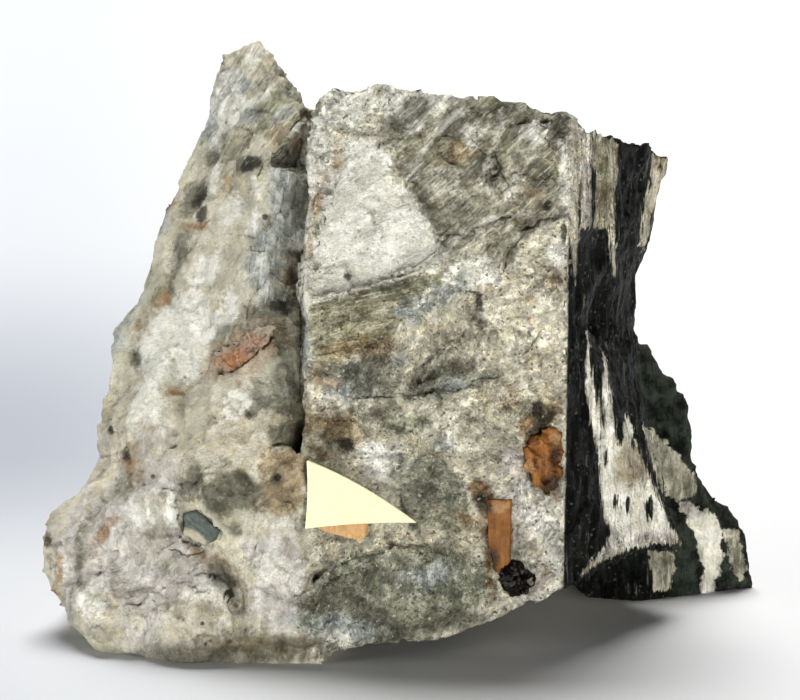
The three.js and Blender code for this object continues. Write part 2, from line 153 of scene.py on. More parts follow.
class Surface:
    """The vertices of a mesh as the eye sees them, for placing patches on them."""

    def __init__(self, mesh):
        count = len(mesh.vertices)
        self.mesh = mesh
        self.points = np.empty((count, 3))
        mesh.vertices.foreach_get("co", self.points.ravel())
        self.normals = np.empty((count, 3))
        mesh.vertex_normals.foreach_get("vector", self.normals.ravel())
        self.mm = self.points / MM
        self.right, self.up, self.depth = seen(self.points)
        self.facing = -self.normals @ SIGHT

    def depth_at(self, right, up):
        """Depth of the surface that the eye sees at right and up."""
        away = np.hypot(self.right - right, self.up - up) + 3 * (self.facing < 0.05)
        near = away < away.min() + 0.4
        return self.depth[near].min()

    def in_spots(self, spots, deep=1.3):
        """Depth inside the nearest spot, in mm: negative outside. Each is right, up, half width,
        half height and turn in degrees, and reaches as deep as `deep` times its longer half."""
        best = np.full(len(self.right), OUTSIDE)
        for right, up, half_width, half_height, *turn in spots:
            along, across = turned(
                self.right - right, self.up - up, math.radians(turn[0] if turn else 0)
            )
            reach = deep * max(half_width, half_height, 1.5)
            behind = (self.depth - self.depth_at(right, up)) / reach
            share = np.sqrt((along / half_width) ** 2 + (across / half_height) ** 2 + behind**2)
            best = np.maximum(best, (1 - share) * min(half_width, half_height))
        return best

    def in_outline(self, outline):
        """Depth inside an outline on the side that the eye sees, in mm: negative outside."""
        inside = np.zeros(len(self.right), bool)
        nearest = np.full(len(self.right), -OUTSIDE)
        for (x, y), (next_x, next_y) in zip(outline, outline[1:] + outline[:1], strict=True):
            run, rise = next_x - x, next_y - y
            share = ((self.right - x) * run + (self.up - y) * rise) / (run**2 + rise**2)
            share = np.clip(share, 0, 1)
            away = np.hypot(self.right - x - share * run, self.up - y - share * rise)
            nearest = np.minimum(nearest, away)
            level = (y > self.up) != (next_y > self.up)
            inside ^= level & (self.right < x + run * (self.up - y) / (rise or 1e-9))
        field = np.where(inside, nearest, -nearest)
        return np.minimum(field, 4 * (self.facing - 0.04))

    def patches(self, outlines=(), spots=(), deep=1.3):
        """Depth inside the nearest of several outlines and spots."""
        best = self.in_spots(spots, deep)
        for outline in outlines:
            best = np.maximum(best, self.in_outline(outline))
        return np.maximum(best, OUTSIDE)

    def from_lines(self, lines):
        """Distance from the nearest of several lines on the side that the eye sees, in mm, and
        the same distance with a sign for the side of the line."""
        best = np.full(len(self.right), -OUTSIDE)
        side = np.full(len(self.right), -OUTSIDE)
        for line in lines:
            for (x, y), (next_x, next_y) in zip(line, line[1:]):
                run, rise = next_x - x, next_y - y
                share = ((self.right - x) * run + (self.up - y) * rise) / (run**2 + rise**2)
                share = np.clip(share, 0, 1)
                away = np.hypot(self.right - x - share * run, self.up - y - share * rise)
                left = np.sign((self.up - y) * run - (self.right - x) * rise)
                nearer = (away < best) & (self.facing > 0.02)
                side = np.where(nearer, away * left, side)
                best = np.where(nearer, away, best)
        return best, side

    def keep(self, name, values):
        """Stores a value at each vertex under that name, for the materials."""
        layer = self.mesh.attributes.new(name, "FLOAT", "POINT")
        layer.data.foreach_set("value", np.asarray(values, np.float32))

    def keep_by_face(self, name, values):
        """Stores a value at each face, that of its first corner, so that it changes sharply."""
        faces = len(self.mesh.polygons)
        starts = np.empty(faces, np.int32)
        self.mesh.polygons.foreach_get("loop_start", starts)
        corners = np.empty(len(self.mesh.loops), np.int32)
        self.mesh.loops.foreach_get("vertex_index", corners)
        layer = self.mesh.attributes.new(name, "FLOAT", "FACE")
        layer.data.foreach_set("value", np.asarray(values, np.float32)[corners[starts]])

    def move(self, heights):
        """Moves each vertex out along its normal by its height in mm."""
        moved = self.points + self.normals * (heights * MM)[:, None]
        self.mesh.vertices.foreach_set("co", moved.astype(np.float32).ravel())
        self.mesh.update()


def applied(mesh, kind, **settings):
    """The mesh after one modifier of that kind."""
    shape = bpy.data.objects.new("being_shaped", mesh)
    bpy.context.scene.collection.objects.link(shape)
    change = shape.modifiers.new("change", kind)
    for name, value in settings.items():
        setattr(change, name, value)
    bpy.context.view_layer.update()
    view = bpy.context.evaluated_depsgraph_get()
    made = bpy.data.meshes.new_from_object(shape.evaluated_get(view), depsgraph=view)
    bpy.data.objects.remove(shape)
    return made


def without_crumbs(mesh):
    """The mesh's largest part, without the few faces that hang on it by a corner or an edge."""
    body = bmesh.new()
    body.from_mesh(mesh)
    loose = set(body.faces)
    parts = []
    for first in body.faces:
        if first not in loose:
            continue
        loose.remove(first)
        part = [first]
        for face in part:
            joints = [edge for edge in face.edges if len(edge.link_faces) == 2]
            fresh = {other for edge in joints for other in edge.link_faces} & loose
            loose -= fresh
            part.extend(fresh)
        parts.append(part)
    crumbs = sorted(parts, key=len)[:-1]
    bmesh.ops.delete(body, geom=[face for part in crumbs for face in part], context="FACES")
    body.to_mesh(mesh)
    body.free()
    return mesh


def in_order(mesh):
    """The mesh with its vertices and faces sorted by place, so that every run gives the same."""
    corners = np.empty((len(mesh.vertices), 3))
    mesh.vertices.foreach_get("co", corners.ravel())
    order = np.lexsort(corners.T)
    rank = np.argsort(order)
    faces = []
    for face in mesh.polygons:
        ring = rank[list(face.vertices)].tolist()
        first = ring.index(min(ring))
        faces.append(ring[first:] + ring[:first])
    made = bpy.data.meshes.new("in_order")
    made.from_pydata(corners[order].tolist(), [], sorted(faces))
    return made


def fine_mesh(mesh, grid):
    """A solid's surface, remeshed to even faces of that size in mm."""
    remeshed = applied(mesh, "REMESH", mode="VOXEL", voxel_size=grid * MM)
    return in_order(without_crumbs(remeshed))


def grown_solid(node, growth, sunk):
    """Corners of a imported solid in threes, widened all round and sunk into the rock, in mm."""
    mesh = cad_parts[node].data
    mesh.calc_loop_triangles()
    corners = np.empty((len(mesh.vertices), 3))
    mesh.vertices.foreach_get("co", corners.ravel())
    order = np.empty(3 * len(mesh.loop_triangles), np.int32)
    mesh.loop_triangles.foreach_get("vertices", order)
    low, high = corners.min(0), corners.max(0)
    middle = (low + high) / 2
    scale = 1 + 2 * growth * MM / (high - low)
    return ((corners - middle) * scale + middle + SIGHT * sunk * MM)[order]


def mesh_of(corners):
    """A mesh of triangles from corners in threes."""
    mesh = bpy.data.meshes.new("shell")
    mesh.from_pydata(corners.tolist(), [], np.arange(len(corners)).reshape(-1, 3).tolist())
    return mesh


def show(name, mesh, material, slot, *replaced):
    """Makes the finished piece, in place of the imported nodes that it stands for."""
    mesh.materials.clear()
    mesh.materials.append(material)
    mesh.polygons.foreach_set("use_smooth", np.ones(len(mesh.polygons), bool))
    piece = bpy.data.objects.new(name, mesh)
    bpy.context.scene.collection.objects.link(piece)
    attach(piece, "root")
    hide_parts(*replaced)
    return piece


# Where each mineral shows on the front: outlines as [right, up] corners, spots as [right, up,
# half width, half height, turn].

BRIGHT_PLATE = [
    [-4.5, 44.4], [-1.7, 44.2], [0.0, 40.5], [1.1, 39.3], [3.5, 35.4], [3.5, 33.5],
    [0.1, 32.7], [-4.1, 31.5], [-7.5, 30.8], [-7.4, 34.6], [-6.5, 39.3],
]
BANDED_CRYSTAL = [
    [-7.6, 30.6], [-4.1, 31.6], [0.1, 32.7], [3.3, 33.7], [4.0, 32.9], [2.7, 30.6], [0.1, 29.1],
    [-1.2, 26.6], [-6.0, 25.4], [-7.6, 25.6],
]
UPPER_RIGHT = [
    [-1.1, 48.4], [2.7, 48.8], [10.3, 48.2], [13.6, 47.3], [14.1, 43.5], [14.2, 37.6],
    [10.3, 35.6], [6.1, 33.4], [3.5, 34.2], [2.7, 36.3], [1.0, 39.3], [-0.3, 42.7], [-1.3, 45.2],
]
TROUGH = [
    [-11.1, 42.2], [-8.4, 45.2], [-7.8, 41.8], [-7.9, 35.0], [-8.2, 30.8], [-11.6, 30.2],
    [-13.0, 33.3], [-12.4, 36.7], [-10.9, 36.7],
]
SPIRE = [
    [-18.2, 41.4], [-16.6, 48.4], [-15.3, 51.8], [-12.4, 53.4], [-9.4, 50.0], [-7.6, 47.6],
    [-9.1, 45.0], [-11.4, 42.5], [-13.2, 41.6],
]

SMOOTH_FLANK = [
    [-22.4, 34.0], [-18.4, 41.0], [-13.6, 39.6], [-12.6, 33.0], [-10.0, 28.0], [-9.6, 22.6],
    [-16.0, 21.0], [-25.0, 22.6], [-24.4, 28.0],
]

MINERALS = {
    "fan": {"spots": []},
    "bright": {
        "outlines": [BRIGHT_PLATE],
        "spots": [
            [-3.7, 41.1, 1.9, 3.0, 10], [-7.9, 45.4, 0.9, 1.5], [-6.8, 43.9, 1.1, 1.5],
            [13.6, 34.6, 1.1, 1.4], [7.0, 33.0, 1.3, 1.4, 30], [11.6, 44.9, 1.2, 1.1],
            [6.1, 44.4, 1.0, 0.8, 40], [9.5, 39.9, 0.9, 0.8, 40], [4.6, 33.0, 1.8, 0.5, 40],
            [-12.1, 51.9, 0.9, 1.0], [-14.5, 49.9, 0.6, 0.5], [-12.9, 47.4, 2.4, 0.35, 38],
            [-15.8, 41.2, 0.6, 1.1], [-12.0, 40.2, 0.5, 0.8], [-14.3, 38.4, 1.3, 1.3],
            [-12.3, 37.3, 0.6, 1.2, -20], [-14.8, 29.4, 1.0, 1.9, -30], [-16.5, 33.5, 1.1, 1.8, -35],
            [-13.5, 22.3, 1.1, 1.3], [-9.9, 12.4, 1.6, 0.5], [-10.8, 8.0, 1.4, 1.1],
            [-16.4, 6.0, 1.6, 0.9], [-26.4, 5.0, 1.4, 1.0, -40], [-22.0, 12.4, 1.0, 1.2],
            [-19.0, 27.4, 3.6, 4.4, -30], [-22.0, 22.6, 2.4, 2.2], [-15.0, 47.6, 1.8, 2.4, 10],
            [-5.4, 46.0, 1.8, 1.0, 10], [-6.6, 40.6, 0.9, 3.0, -8], [12.4, 12.4, 1.3, 2.2],
            [-21.4, 21.0, 1.1, 1.1], [-19.2, 13.2, 0.7, 1.6],
            [3.6, 19.2, 1.1, 0.3], [-1.8, 17.4, 1.4, 1.4], [-8.9, 31.2, 0.35, 3.2],
            [14.0, 40.5, 0.35, 6.0], [13.7, 14.5, 0.5, 3.6], [13.2, 6.4, 0.9, 0.8],
            [12.9, 9.6, 0.9, 3.2], [-5.6, 2.4, 1.6, 0.5, -10],
        ],
    },
    "ivory": {
        "outlines": [
            [[6.1, 31.6], [8.6, 33.3], [12.5, 35.9], [14.2, 36.3], [14.3, 22.3], [11.2, 21.6],
             [8.8, 24.2], [8.6, 27.4], [6.9, 29.4]],
        ],
        "spots": [
            [-8.7, 38.0, 0.6, 7.0, 2], [-8.6, 27.0, 0.4, 4.5], [14.3, 30.0, 0.4, 7.0],
            [-16.4, 36.0, 2.0, 3.0, -30], [-11.6, 26.0, 1.2, 2.6, 10],
        ],
    },
    "cream": {
        "outlines": [
            [[-15.6, 21.8], [-11.6, 22.7], [-8.6, 20.6], [-9.2, 16.8], [-11.2, 15.6],
             [-14.5, 16.0], [-16.9, 17.2], [-16.4, 19.7]],
            [[-25.0, 19.0], [-23.4, 18.6], [-24.3, 13.6], [-26.2, 13.4], [-26.0, 16.4]],
        ],
        "spots": [
            [4.4, 27.8, 2.7, 1.4, 10], [-11.4, 51.7, 0.9, 1.4], [-15.7, 36.2, 1.6, 1.1],
            [0.3, 10.4, 2.0, 0.8, -10], [3.2, 17.0, 1.1, 0.5], [-17.6, 4.2, 2.8, 1.9],
            [-24.6, 4.2, 2.2, 1.6], [9.4, 31.8, 2.4, 1.6], [7.4, 22.4, 2.6, 0.8, 20],
            [12.2, 25.6, 1.6, 2.2], [12.2, 11.0, 1.3, 4.6], [-18.2, 29.8, 2.2, 3.2, -30],
            [-7.2, 31.6, 0.9, 0.7],
        ],
    },
    "smoky": {
        "outlines": [
            UPPER_RIGHT,
            [[-4.5, 25.4], [-1.1, 26.1], [-0.3, 24.6], [2.8, 25.6], [3.6, 24.9], [8.6, 24.7],
             [8.2, 23.8], [3.4, 22.7], [0.1, 22.0], [-2.4, 21.6], [-4.5, 22.5]],
        ],
        "spots": [
            [-4.6, 47.0, 2.2, 1.3], [-6.2, 45.9, 1.2, 0.8], [5.0, 27.2, 2.6, 1.6, 10],
            [-3.4, 20.6, 3.4, 1.6, 12], [7.0, 20.4, 2.2, 1.0, -20],
            [11.8, 14.8, 1.0, 0.8], [10.5, 9.4, 0.9, 1.0], [-20.1, 12.2, 1.8, 2.0],
            [-26.9, 9.0, 0.5, 2.2], [-19.6, 30.4, 0.5, 0.9], [-19.8, 8.6, 1.8, 0.8, -35],
            [-23.4, 15.0, 1.1, 1.2], [9.9, 21.4, 1.4, 1.2], [-14.9, 15.6, 1.0, 1.5],
            [-14.0, 1.6, 6.0, 1.2], [-10.6, 25.0, 2.0, 3.4],
        ],
    },
    "shade": {
        "spots": [
            [-13.6, 14.6, 2.3, 1.5, -15], [-15.4, 14.2, 1.6, 1.2, -20], [-10.8, 28.6, 1.6, 1.6, 20],
            [-9.9, 19.6, 1.0, 0.8], [-15.6, 13.4, 1.2, 0.8, -30], [-18.0, 15.0, 0.7, 1.0],
            [-14.8, 7.2, 1.6, 0.7, -40], [-13.9, 5.6, 0.6, 1.2, 20], [-10.2, 15.6, 0.5, 0.7],
            [-12.4, 21.4, 0.6, 0.5], [-9.4, 21.4, 1.0, 0.7], [-16.9, 9.6, 0.8, 0.4, -30],
            [-2.6, 7.6, 1.4, 0.7, 20], [2.2, 14.6, 1.2, 0.8], [-3.4, 5.0, 5.0, 0.9, -27],
            [-16.0, 0.7, 8.0, 0.9], [-9.6, 1.6, 2.4, 0.8], [-22.6, 33.0, 0.7, 1.6, -25],
            [-19.6, 31.2, 0.6, 1.0], [-3.4, 23.4, 0.9, 0.7], [5.4, 36.2, 1.4, 0.4, 42],
            [0.9, 46.4, 2.8, 1.0, 36], [4.6, 45.6, 2.2, 0.8, 42], [8.2, 46.6, 1.9, 0.6, 18],
            [6.9, 42.1, 0.9, 1.5], [8.2, 41.7, 0.4, 1.3], [11.8, 41.2, 1.3, 1.2, 20],
            [13.5, 45.2, 0.5, 1.4], [1.7, 39.8, 1.9, 0.45, -55], [5.9, 38.0, 1.5, 0.5, 10],
            [2.0, 38.4, 0.4, 0.5], [-4.2, 32.9, 0.3, 0.7, 20], [9.4, 34.6, 0.5, 0.9, -20],
            [-1.9, 25.5, 1.3, 0.6, 8], [-2.6, 24.1, 1.4, 1.0], [2.2, 24.2, 1.3, 0.8, 30],
            [3.6, 25.3, 0.5, 0.8], [3.0, 23.0, 2.2, 0.35, 12], [7.4, 24.5, 1.2, 0.35, 8],
            [-15.9, 43.0, 0.7, 0.6], [-13.1, 42.4, 1.3, 1.0], [-17.6, 39.6, 1.2, 1.8, -25],
            [-10.9, 30.0, 2.3, 0.9, 22], [-13.7, 27.9, 1.5, 0.7, 35], [-9.7, 30.4, 1.3, 0.8, 10],
            [-15.0, 27.6, 0.6, 1.3, -30],
            [-22.4, 26.2, 0.4, 1.2, 15], [-8.3, 28.0, 0.3, 2.8], [-10.2, 26.8, 1.0, 1.0],
            [-9.6, 24.4, 1.0, 1.2],
            [-9.0, 23.4, 0.6, 0.6], [-11.8, 22.0, 0.6, 0.7], [-5.0, 18.2, 1.1, 0.8, -20],
            [-17.4, 15.6, 0.8, 1.3], [-10.3, 15.7, 0.4, 0.6], [-6.2, 5.7, 1.6, 1.1, 35],
            [7.0, 14.2, 0.6, 1.0, 15], [-27.2, 8.4, 0.3, 1.6], [-15.0, 7.8, 1.8, 0.7, -35],
            [-13.7, 11.4, 0.5, 0.5], [-18.6, 35.0, 0.8, 2.0, -20], [-12.0, 46.8, 0.4, 0.3],
            [4.2, 11.8, 0.8, 0.3, -25], [4.4, 24.9, 2.2, 0.7, 10],
            [-4.0, 24.6, 1.3, 1.0], [-5.9, 24.8, 1.0, 0.7], [-2.0, 31.6, 3.4, 0.4, 14],
            [3.6, 19.0, 0.6, 0.5], [-6.6, 5.4, 2.0, 1.0, 15], [4.0, 3.6, 3.2, 0.8, 10],
        ],
    },
    "olive": {
        "outlines": [
            BANDED_CRYSTAL,
            [[-16.9, 15.8], [-13.2, 16.3], [-11.7, 14.6], [-12.4, 12.9], [-15.6, 12.6], [-17.2, 14.0]],
        ],
        "spots": [
            [8.5, 43.8, 1.0, 1.2, 10], [12.6, 41.6, 0.9, 1.5], [7.8, 47.0, 1.4, 0.7, 10],
            [-10.2, 48.4, 1.2, 1.1, 40], [-11.5, 45.8, 1.3, 1.2, 30], [-13.6, 43.8, 1.6, 0.8, 10],
            [2.0, 43.4, 1.9, 1.6, 30], [10.2, 37.9, 1.0, 0.7], [-8.6, 20.4, 0.7, 1.2],
            [-20.4, 31.6, 0.7, 1.7, -15], [-23.0, 26.2, 0.8, 0.6], [-21.2, 22.8, 1.0, 0.5],
        ],
    },
    "green_grey": {
        "outlines": [
            [[-7.9, 5.3], [-5.8, 8.7], [0.1, 9.9], [3.5, 9.7], [7.6, 8.7], [8.2, 6.1], [6.1, 4.4],
             [1.8, 1.9], [-5.8, 1.2], [-8.4, 1.9]],
            [[-1.2, 17.4], [2.8, 17.8], [5.6, 15.4], [6.2, 12.4], [3.4, 11.6], [0.8, 12.0]],
        ],
        "spots": [
            [0.6, 20.4, 1.9, 0.8, 20], [-9.6, 22.6, 1.8, 1.1], [-10.0, 27.0, 1.6, 1.1],
            [-19.0, 25.2, 2.2, 1.8], [-6.6, 47.0, 1.0, 1.2], [-3.2, 36.4, 1.6, 1.0],
        ],
    },
    "blue_grey": {
        "outlines": [
            TROUGH,
            [[-0.3, 29.8], [2.7, 31.4], [5.2, 33.2], [7.6, 34.2], [5.9, 31.4], [3.3, 30.4],
             [1.0, 28.6]],
        ],
        "spots": [
            [-14.4, 49.4, 1.8, 1.2], [-5.0, 3.2, 3.4, 1.1, -8], [2.4, 7.4, 2.2, 1.0, 10],
            [-16.2, 46.6, 1.2, 2.4, 12], [-10.0, 46.6, 0.6, 1.6, -30], [-12.2, 46.6, 1.2, 0.7, 30],
            [-20.2, 38.0, 0.7, 1.7, -30],
            [-22.6, 30.4, 0.7, 1.9, -20], [3.9, 18.5, 0.75, 0.45], [-8.2, 29.4, 0.4, 3.8],
            [0.0, 25.8, 0.6, 0.6], [-4.0, 24.0, 2.4, 1.4], [4.4, 23.8, 1.5, 0.6, 5],
            [-8.9, 23.2, 0.5, 0.6],
            [-24.2, 27.2, 0.6, 1.2, -20], [-16.0, 45.0, 0.7, 2.0, 12],
        ],
    },
    "brown": {
        "outlines": [[[-6.9, 27.0], [-1.6, 27.9], [0.3, 27.0], [-1.1, 25.9], [-6.9, 25.6]]],
        "spots": [
            [-6.0, 24.5, 1.4, 1.2], [-4.8, 19.6, 1.8, 1.3], [-6.4, 20.6, 1.4, 1.0],
            [-10.0, 14.5, 2.2, 2.2], [-14.8, 40.7, 0.9, 0.7, 30], [11.0, 39.6, 1.2, 0.9],
            [5.0, 43.0, 1.6, 1.0], [13.3, 32.2, 0.8, 1.0], [9.4, 22.0, 0.8, 0.7],
            [-15.0, 8.2, 1.6, 0.8, -25], [-10.2, 45.0, 0.8, 1.2, -30], [5.8, 12.0, 1.6, 0.5, -28],
            [-12.0, 1.4, 3.6, 0.7], [-9.4, 16.6, 2.4, 1.8], [-22.6, 16.6, 1.0, 1.9, 8],
            [-22.8, 17.8, 0.7, 1.3, 8], [12.6, 21.6, 1.0, 1.6], [-22.0, 29.0, 0.6, 1.0],
        ],
    },
    "rust": {
        "spots": [
            [-5.2, 42.4, 0.25, 0.7, -15], [-6.9, 38.6, 0.3, 2.6, -12], [-7.6, 35.4, 0.25, 1.4, -8],
            [-18.0, 37.2, 1.3, 0.4, -10], [-20.2, 30.8, 0.5, 0.9, -20], [-23.2, 17.2, 0.5, 1.0, 15],
            [-24.9, 11.2, 0.5, 1.9, -35], [-9.0, 43.6, 0.5, 0.9, -30], [6.6, 14.8, 0.9, 0.7],
            [11.3, 29.1, 0.3, 0.25], [10.9, 30.8, 0.25, 0.2], [12.5, 7.6, 0.2, 0.5],
            [7.6, 11.0, 0.2, 2.4], [-16.9, 9.3, 0.6, 0.25, -30], [10.6, 20.2, 0.6, 0.9, -30],
            [-19.4, 22.9, 1.0, 0.4, 15], [-29.0, 7.2, 0.35, 1.8], [-15.8, 3.4, 0.2, 0.2],
        ],
    },
    "lilac": {
        "outlines": [
            [[8.6, 14.2], [10.3, 16.3], [13.9, 15.5], [13.9, 5.7], [9.1, 4.8], [9.8, 8.7]],
            [[-13.5, 10.4], [-8.2, 11.2], [-7.7, 5.6], [-9.4, 2.4], [-12.8, 4.4], [-12.4, 8.0]],
            [[-29.6, 10.6], [-27.0, 14.4], [-24.8, 18.8], [-18.8, 17.0], [-18.4, 12.4], [-14.9, 8.4],
             [-14.2, 2.4], [-26.0, 2.6]],
        ],
        "spots": [
            [-1.3, 17.2, 2.0, 1.9], [-22.4, 8.4, 3.4, 2.2, -20], [-28.2, 8.0, 1.4, 3.4, 10],
            [9.6, 16.8, 1.4, 1.4], [-20.6, 19.4, 1.6, 1.2], [-4.4, 22.6, 1.6, 0.7],
            [3.4, 41.2, 1.6, 1.2], [-18.0, 1.6, 4.2, 0.7, 3], [-22.6, 3.0, 3.0, 1.2, -25],
            [-4.4, 2.6, 3.4, 1.0, -10],
        ],
    },
    "rosy": {
        "spots": [
            [-13.2, 26.2, 4.2, 2.0, 28], [-21.4, 20.0, 0.8, 0.6],
            [12.2, 17.6, 1.7, 2.6], [8.2, 12.0, 1.2, 2.0],
        ],
    },
    "stain": {
        "spots": [
            [7.2, 13.8, 0.9, 1.3, 15], [12.0, 20.2, 0.7, 1.8, -38], [13.3, 14.6, 0.6, 1.0],
            [7.6, 10.0, 0.3, 1.6], [-6.3, 17.6, 1.0, 0.5, -30],
        ],
    },
    "dark": {
        "spots": [
            [-10.3, 30.2, 0.9, 0.45, 15], [-9.5, 29.8, 0.7, 0.5], [-17.0, 39.8, 0.6, 1.1, -15],
            [-16.8, 38.2, 0.4, 1.0], [-12.6, 42.4, 0.9, 0.5, 20], [12.5, 38.8, 0.35, 0.5],
            [8.1, 41.4, 0.25, 0.8, -15], [3.0, 24.3, 0.7, 0.4, 35], [1.6, 23.8, 0.4, 0.35],
            [7.0, 13.6, 0.4, 0.7], [-8.3, 32.4, 0.15, 2.2, -8], [-29.8, 10.2, 0.3, 0.4],
            [12.3, 20.6, 0.5, 1.0, -38], [-24.7, 19.7, 0.3, 0.3], [-12.6, 21.0, 0.3, 0.3],
            [-13.2, 30.2, 0.4, 0.3], [6.7, 30.7, 0.2, 0.7, 10], [5.3, 31.4, 0.5, 0.2],
            [11.7, 21.6, 0.5, 0.9, -38], [14.0, 36.4, 0.28, 1.1], [14.4, 46.9, 0.5, 0.6, 60],
            [-23.0, 17.4, 0.3, 0.6, 10], [-14.1, 5.8, 0.35, 1.2, 18], [-14.7, 7.6, 0.9, 0.3, -40],
            [-4.2, 32.7, 0.35, 0.35], [9.4, 8.5, 0.3, 0.5, 60], [11.4, 8.2, 0.35, 0.3],
            [-4.4, 18.6, 0.7, 0.4, -25], [2.9, 6.1, 0.25, 0.2],
        ],
    },
}

# Pale stripes, the fibrous fan and the ledge of the wall, and pale zones of the lobe behind it.
WALL_STRIPES = {
    "fan": [
        [[17.4, 26.8], [17.9, 23.5], [18.3, 20.6], [18.8, 18.2], [19.1, 18.8], [19.4, 21.2],
         [20.1, 19.2], [21.0, 16.7], [22.0, 14.6], [23.0, 12.5], [23.9, 10.4], [18.2, 10.4],
         [17.5, 12.1], [17.0, 15.3], [16.9, 18.0], [17.3, 19.7]],
        [[15.9, 28.2], [16.4, 24.5], [17.4, 19.7], [16.9, 17.6], [16.3, 20.4], [15.8, 24.4]],
        [[25.2, 13.0], [27.6, 12.2], [28.3, 10.2], [28.2, 8.4], [27.6, 5.4], [26.4, 5.2],
         [26.4, 7.6], [26.0, 9.6], [25.0, 11.6]],
    ],
    "lilac": [
        [[15.2, 45.6], [16.3, 44.9], [16.4, 37.0], [15.4, 36.6], [15.2, 40.0]],
        [[18.1, 11.1], [23.8, 11.1], [24.4, 9.7], [22.2, 9.9], [19.7, 9.5], [17.1, 8.5], [15.4, 7.4],
         [15.8, 8.0], [17.6, 9.9]],
        [[24.0, 13.5], [25.4, 13.4], [26.4, 12.1], [25.2, 11.9]],
    ],
    "cream": [
        [[14.3, 46.8], [15.2, 45.8], [15.2, 37.0], [14.9, 32.0], [14.4, 36.0]],
        [[17.7, 44.6], [18.6, 44.0], [18.4, 33.0], [17.8, 36.6]],
        [[21.6, 43.4], [22.4, 43.1], [22.6, 41.0], [22.3, 39.3], [21.6, 37.6], [21.4, 36.1],
         [20.9, 35.0], [20.7, 35.6], [21.0, 39.3], [21.7, 41.2]],
    ],
    "olive": [
        [[16.4, 45.0], [18.2, 44.4], [18.2, 37.0], [16.6, 36.7]],
        [[22.4, 43.2], [23.4, 42.9], [23.2, 41.2], [22.6, 41.4]],
    ],
    "smoky": [
        [[20.9, 20.0], [22.2, 19.4], [24.4, 17.4], [25.9, 15.2], [25.6, 13.8], [24.0, 13.2],
         [22.6, 14.6], [21.6, 17.0]],
        [[21.5, 9.2], [23.9, 9.0], [24.0, 7.6], [23.6, 5.8], [22.2, 5.6]],
        [[28.2, 11.0], [29.4, 10.6], [30.3, 8.4], [30.0, 6.6], [29.0, 7.0], [28.6, 9.0]],
    ],
}
# The straight edge between the front and the wall, from its foot up.
RIM_UP = [6, 22, 36, 47]
RIM_RIGHT = [13.9, 14.15, 14.3, 14.8]
# The wall's front corner and its normal, as right and depth, and how thick its black layer is.
WALL_FOOT = (14.4, -12.6)
WALL_NORMAL = (0.962, -0.276)
LAYER_DEPTH = 1.5
# The hollow under the ledge at the fan's foot, painted black with the black layer: painted shade there
# as well as the black mineral.
HOLLOW = [
    [14.7, 8.2], [15.6, 8.0], [18.0, 9.8], [22.2, 9.6], [24.2, 9.2], [24.6, 7.0], [23.0, 5.2],
    [18.0, 4.6], [14.7, 5.6],
]
# Dark flecks in the fan, and tan patches on the wall.
FAN_SPOTS = [
    [19.5, 13.4, 0.25, 0.6], [21.6, 13.0, 0.4, 0.8], [17.6, 17.7, 0.15, 0.6], [20.0, 18.7, 0.15, 0.3],
    [18.6, 13.6, 0.15, 0.35], [23.2, 14.0, 0.4, 1.1, 15],
]
FAN_TAN = [[20.4, 16.7, 1.7, 2.0], [22.6, 43.0, 0.5, 0.5], [16.9, 39.6, 0.5, 0.9]]

# Lines along which the rock is sunk a little and painted dark: painted shade in the cracks, creases and
# corners, and the dark vein's own colour.
CRACKS = [
    # Beside the spire's second leaf, down to its foot.
    [[-7.9, 46.8], [-9.1, 45.3], [-10.2, 43.2], [-11.4, 42.5], [-11.9, 41.3]],
    # Round the curved facet at the right edge.
    [[8.9, 33.4], [9.1, 34.5], [10.5, 36.2], [12.0, 37.5], [14.1, 37.9]],
    # The dark vein in the middle.
    [[4.8, 31.4], [5.5, 31.3], [6.1, 31.5], [6.8, 31.2], [6.9, 30.2]],
    # Above the pale curved line, and the small ones near it.
    [[2.4, 23.0], [4.4, 23.3], [6.0, 23.9], [8.6, 24.4]],
    [[10.9, 26.4], [12.0, 28.1]],
    # The foot of the step.
    [[-8.4, 22.8], [-8.2, 26.0], [-8.3, 29.4], [-7.9, 32.8]],
    # The dark corner below the olive crystal of the upper right.
    [[8.2, 42.8], [8.6, 41.4], [9.2, 40.2]],
    # Cleavage edges in the foot and beside the flat grey face.
    [[-19.0, 9.6], [-17.8, 9.2], [-16.6, 9.4]],
]
# Raised edges, painted pale along their crests: partly their own pale colour, partly painted highlight.
RIDGES = [
    # Pale diagonal edges of the upper right.
    [[3.2, 34.0], [5.5, 36.4], [8.1, 37.7], [12.0, 38.0]],
    [[6.9, 40.6], [8.2, 44.2], [8.6, 46.6]],
    [[1.0, 41.0], [2.8, 44.6], [5.6, 46.8]],
    # The upper edge of the banded crystal.
    [[-7.6, 30.6], [-4.1, 31.6], [0.1, 32.7], [3.6, 34.0]],
    # The pale band across the spire.
    [[-10.7, 49.1], [-12.6, 47.6], [-14.9, 46.1]],
    # The pale edge of the face beside the black wall.
    [[14.5, 46.0], [14.4, 40.0], [14.4, 36.8]],
    # The rim between the face and the trough.
    [[-7.6, 46.0], [-7.4, 41.0], [-7.7, 35.0], [-8.0, 31.0]],
]
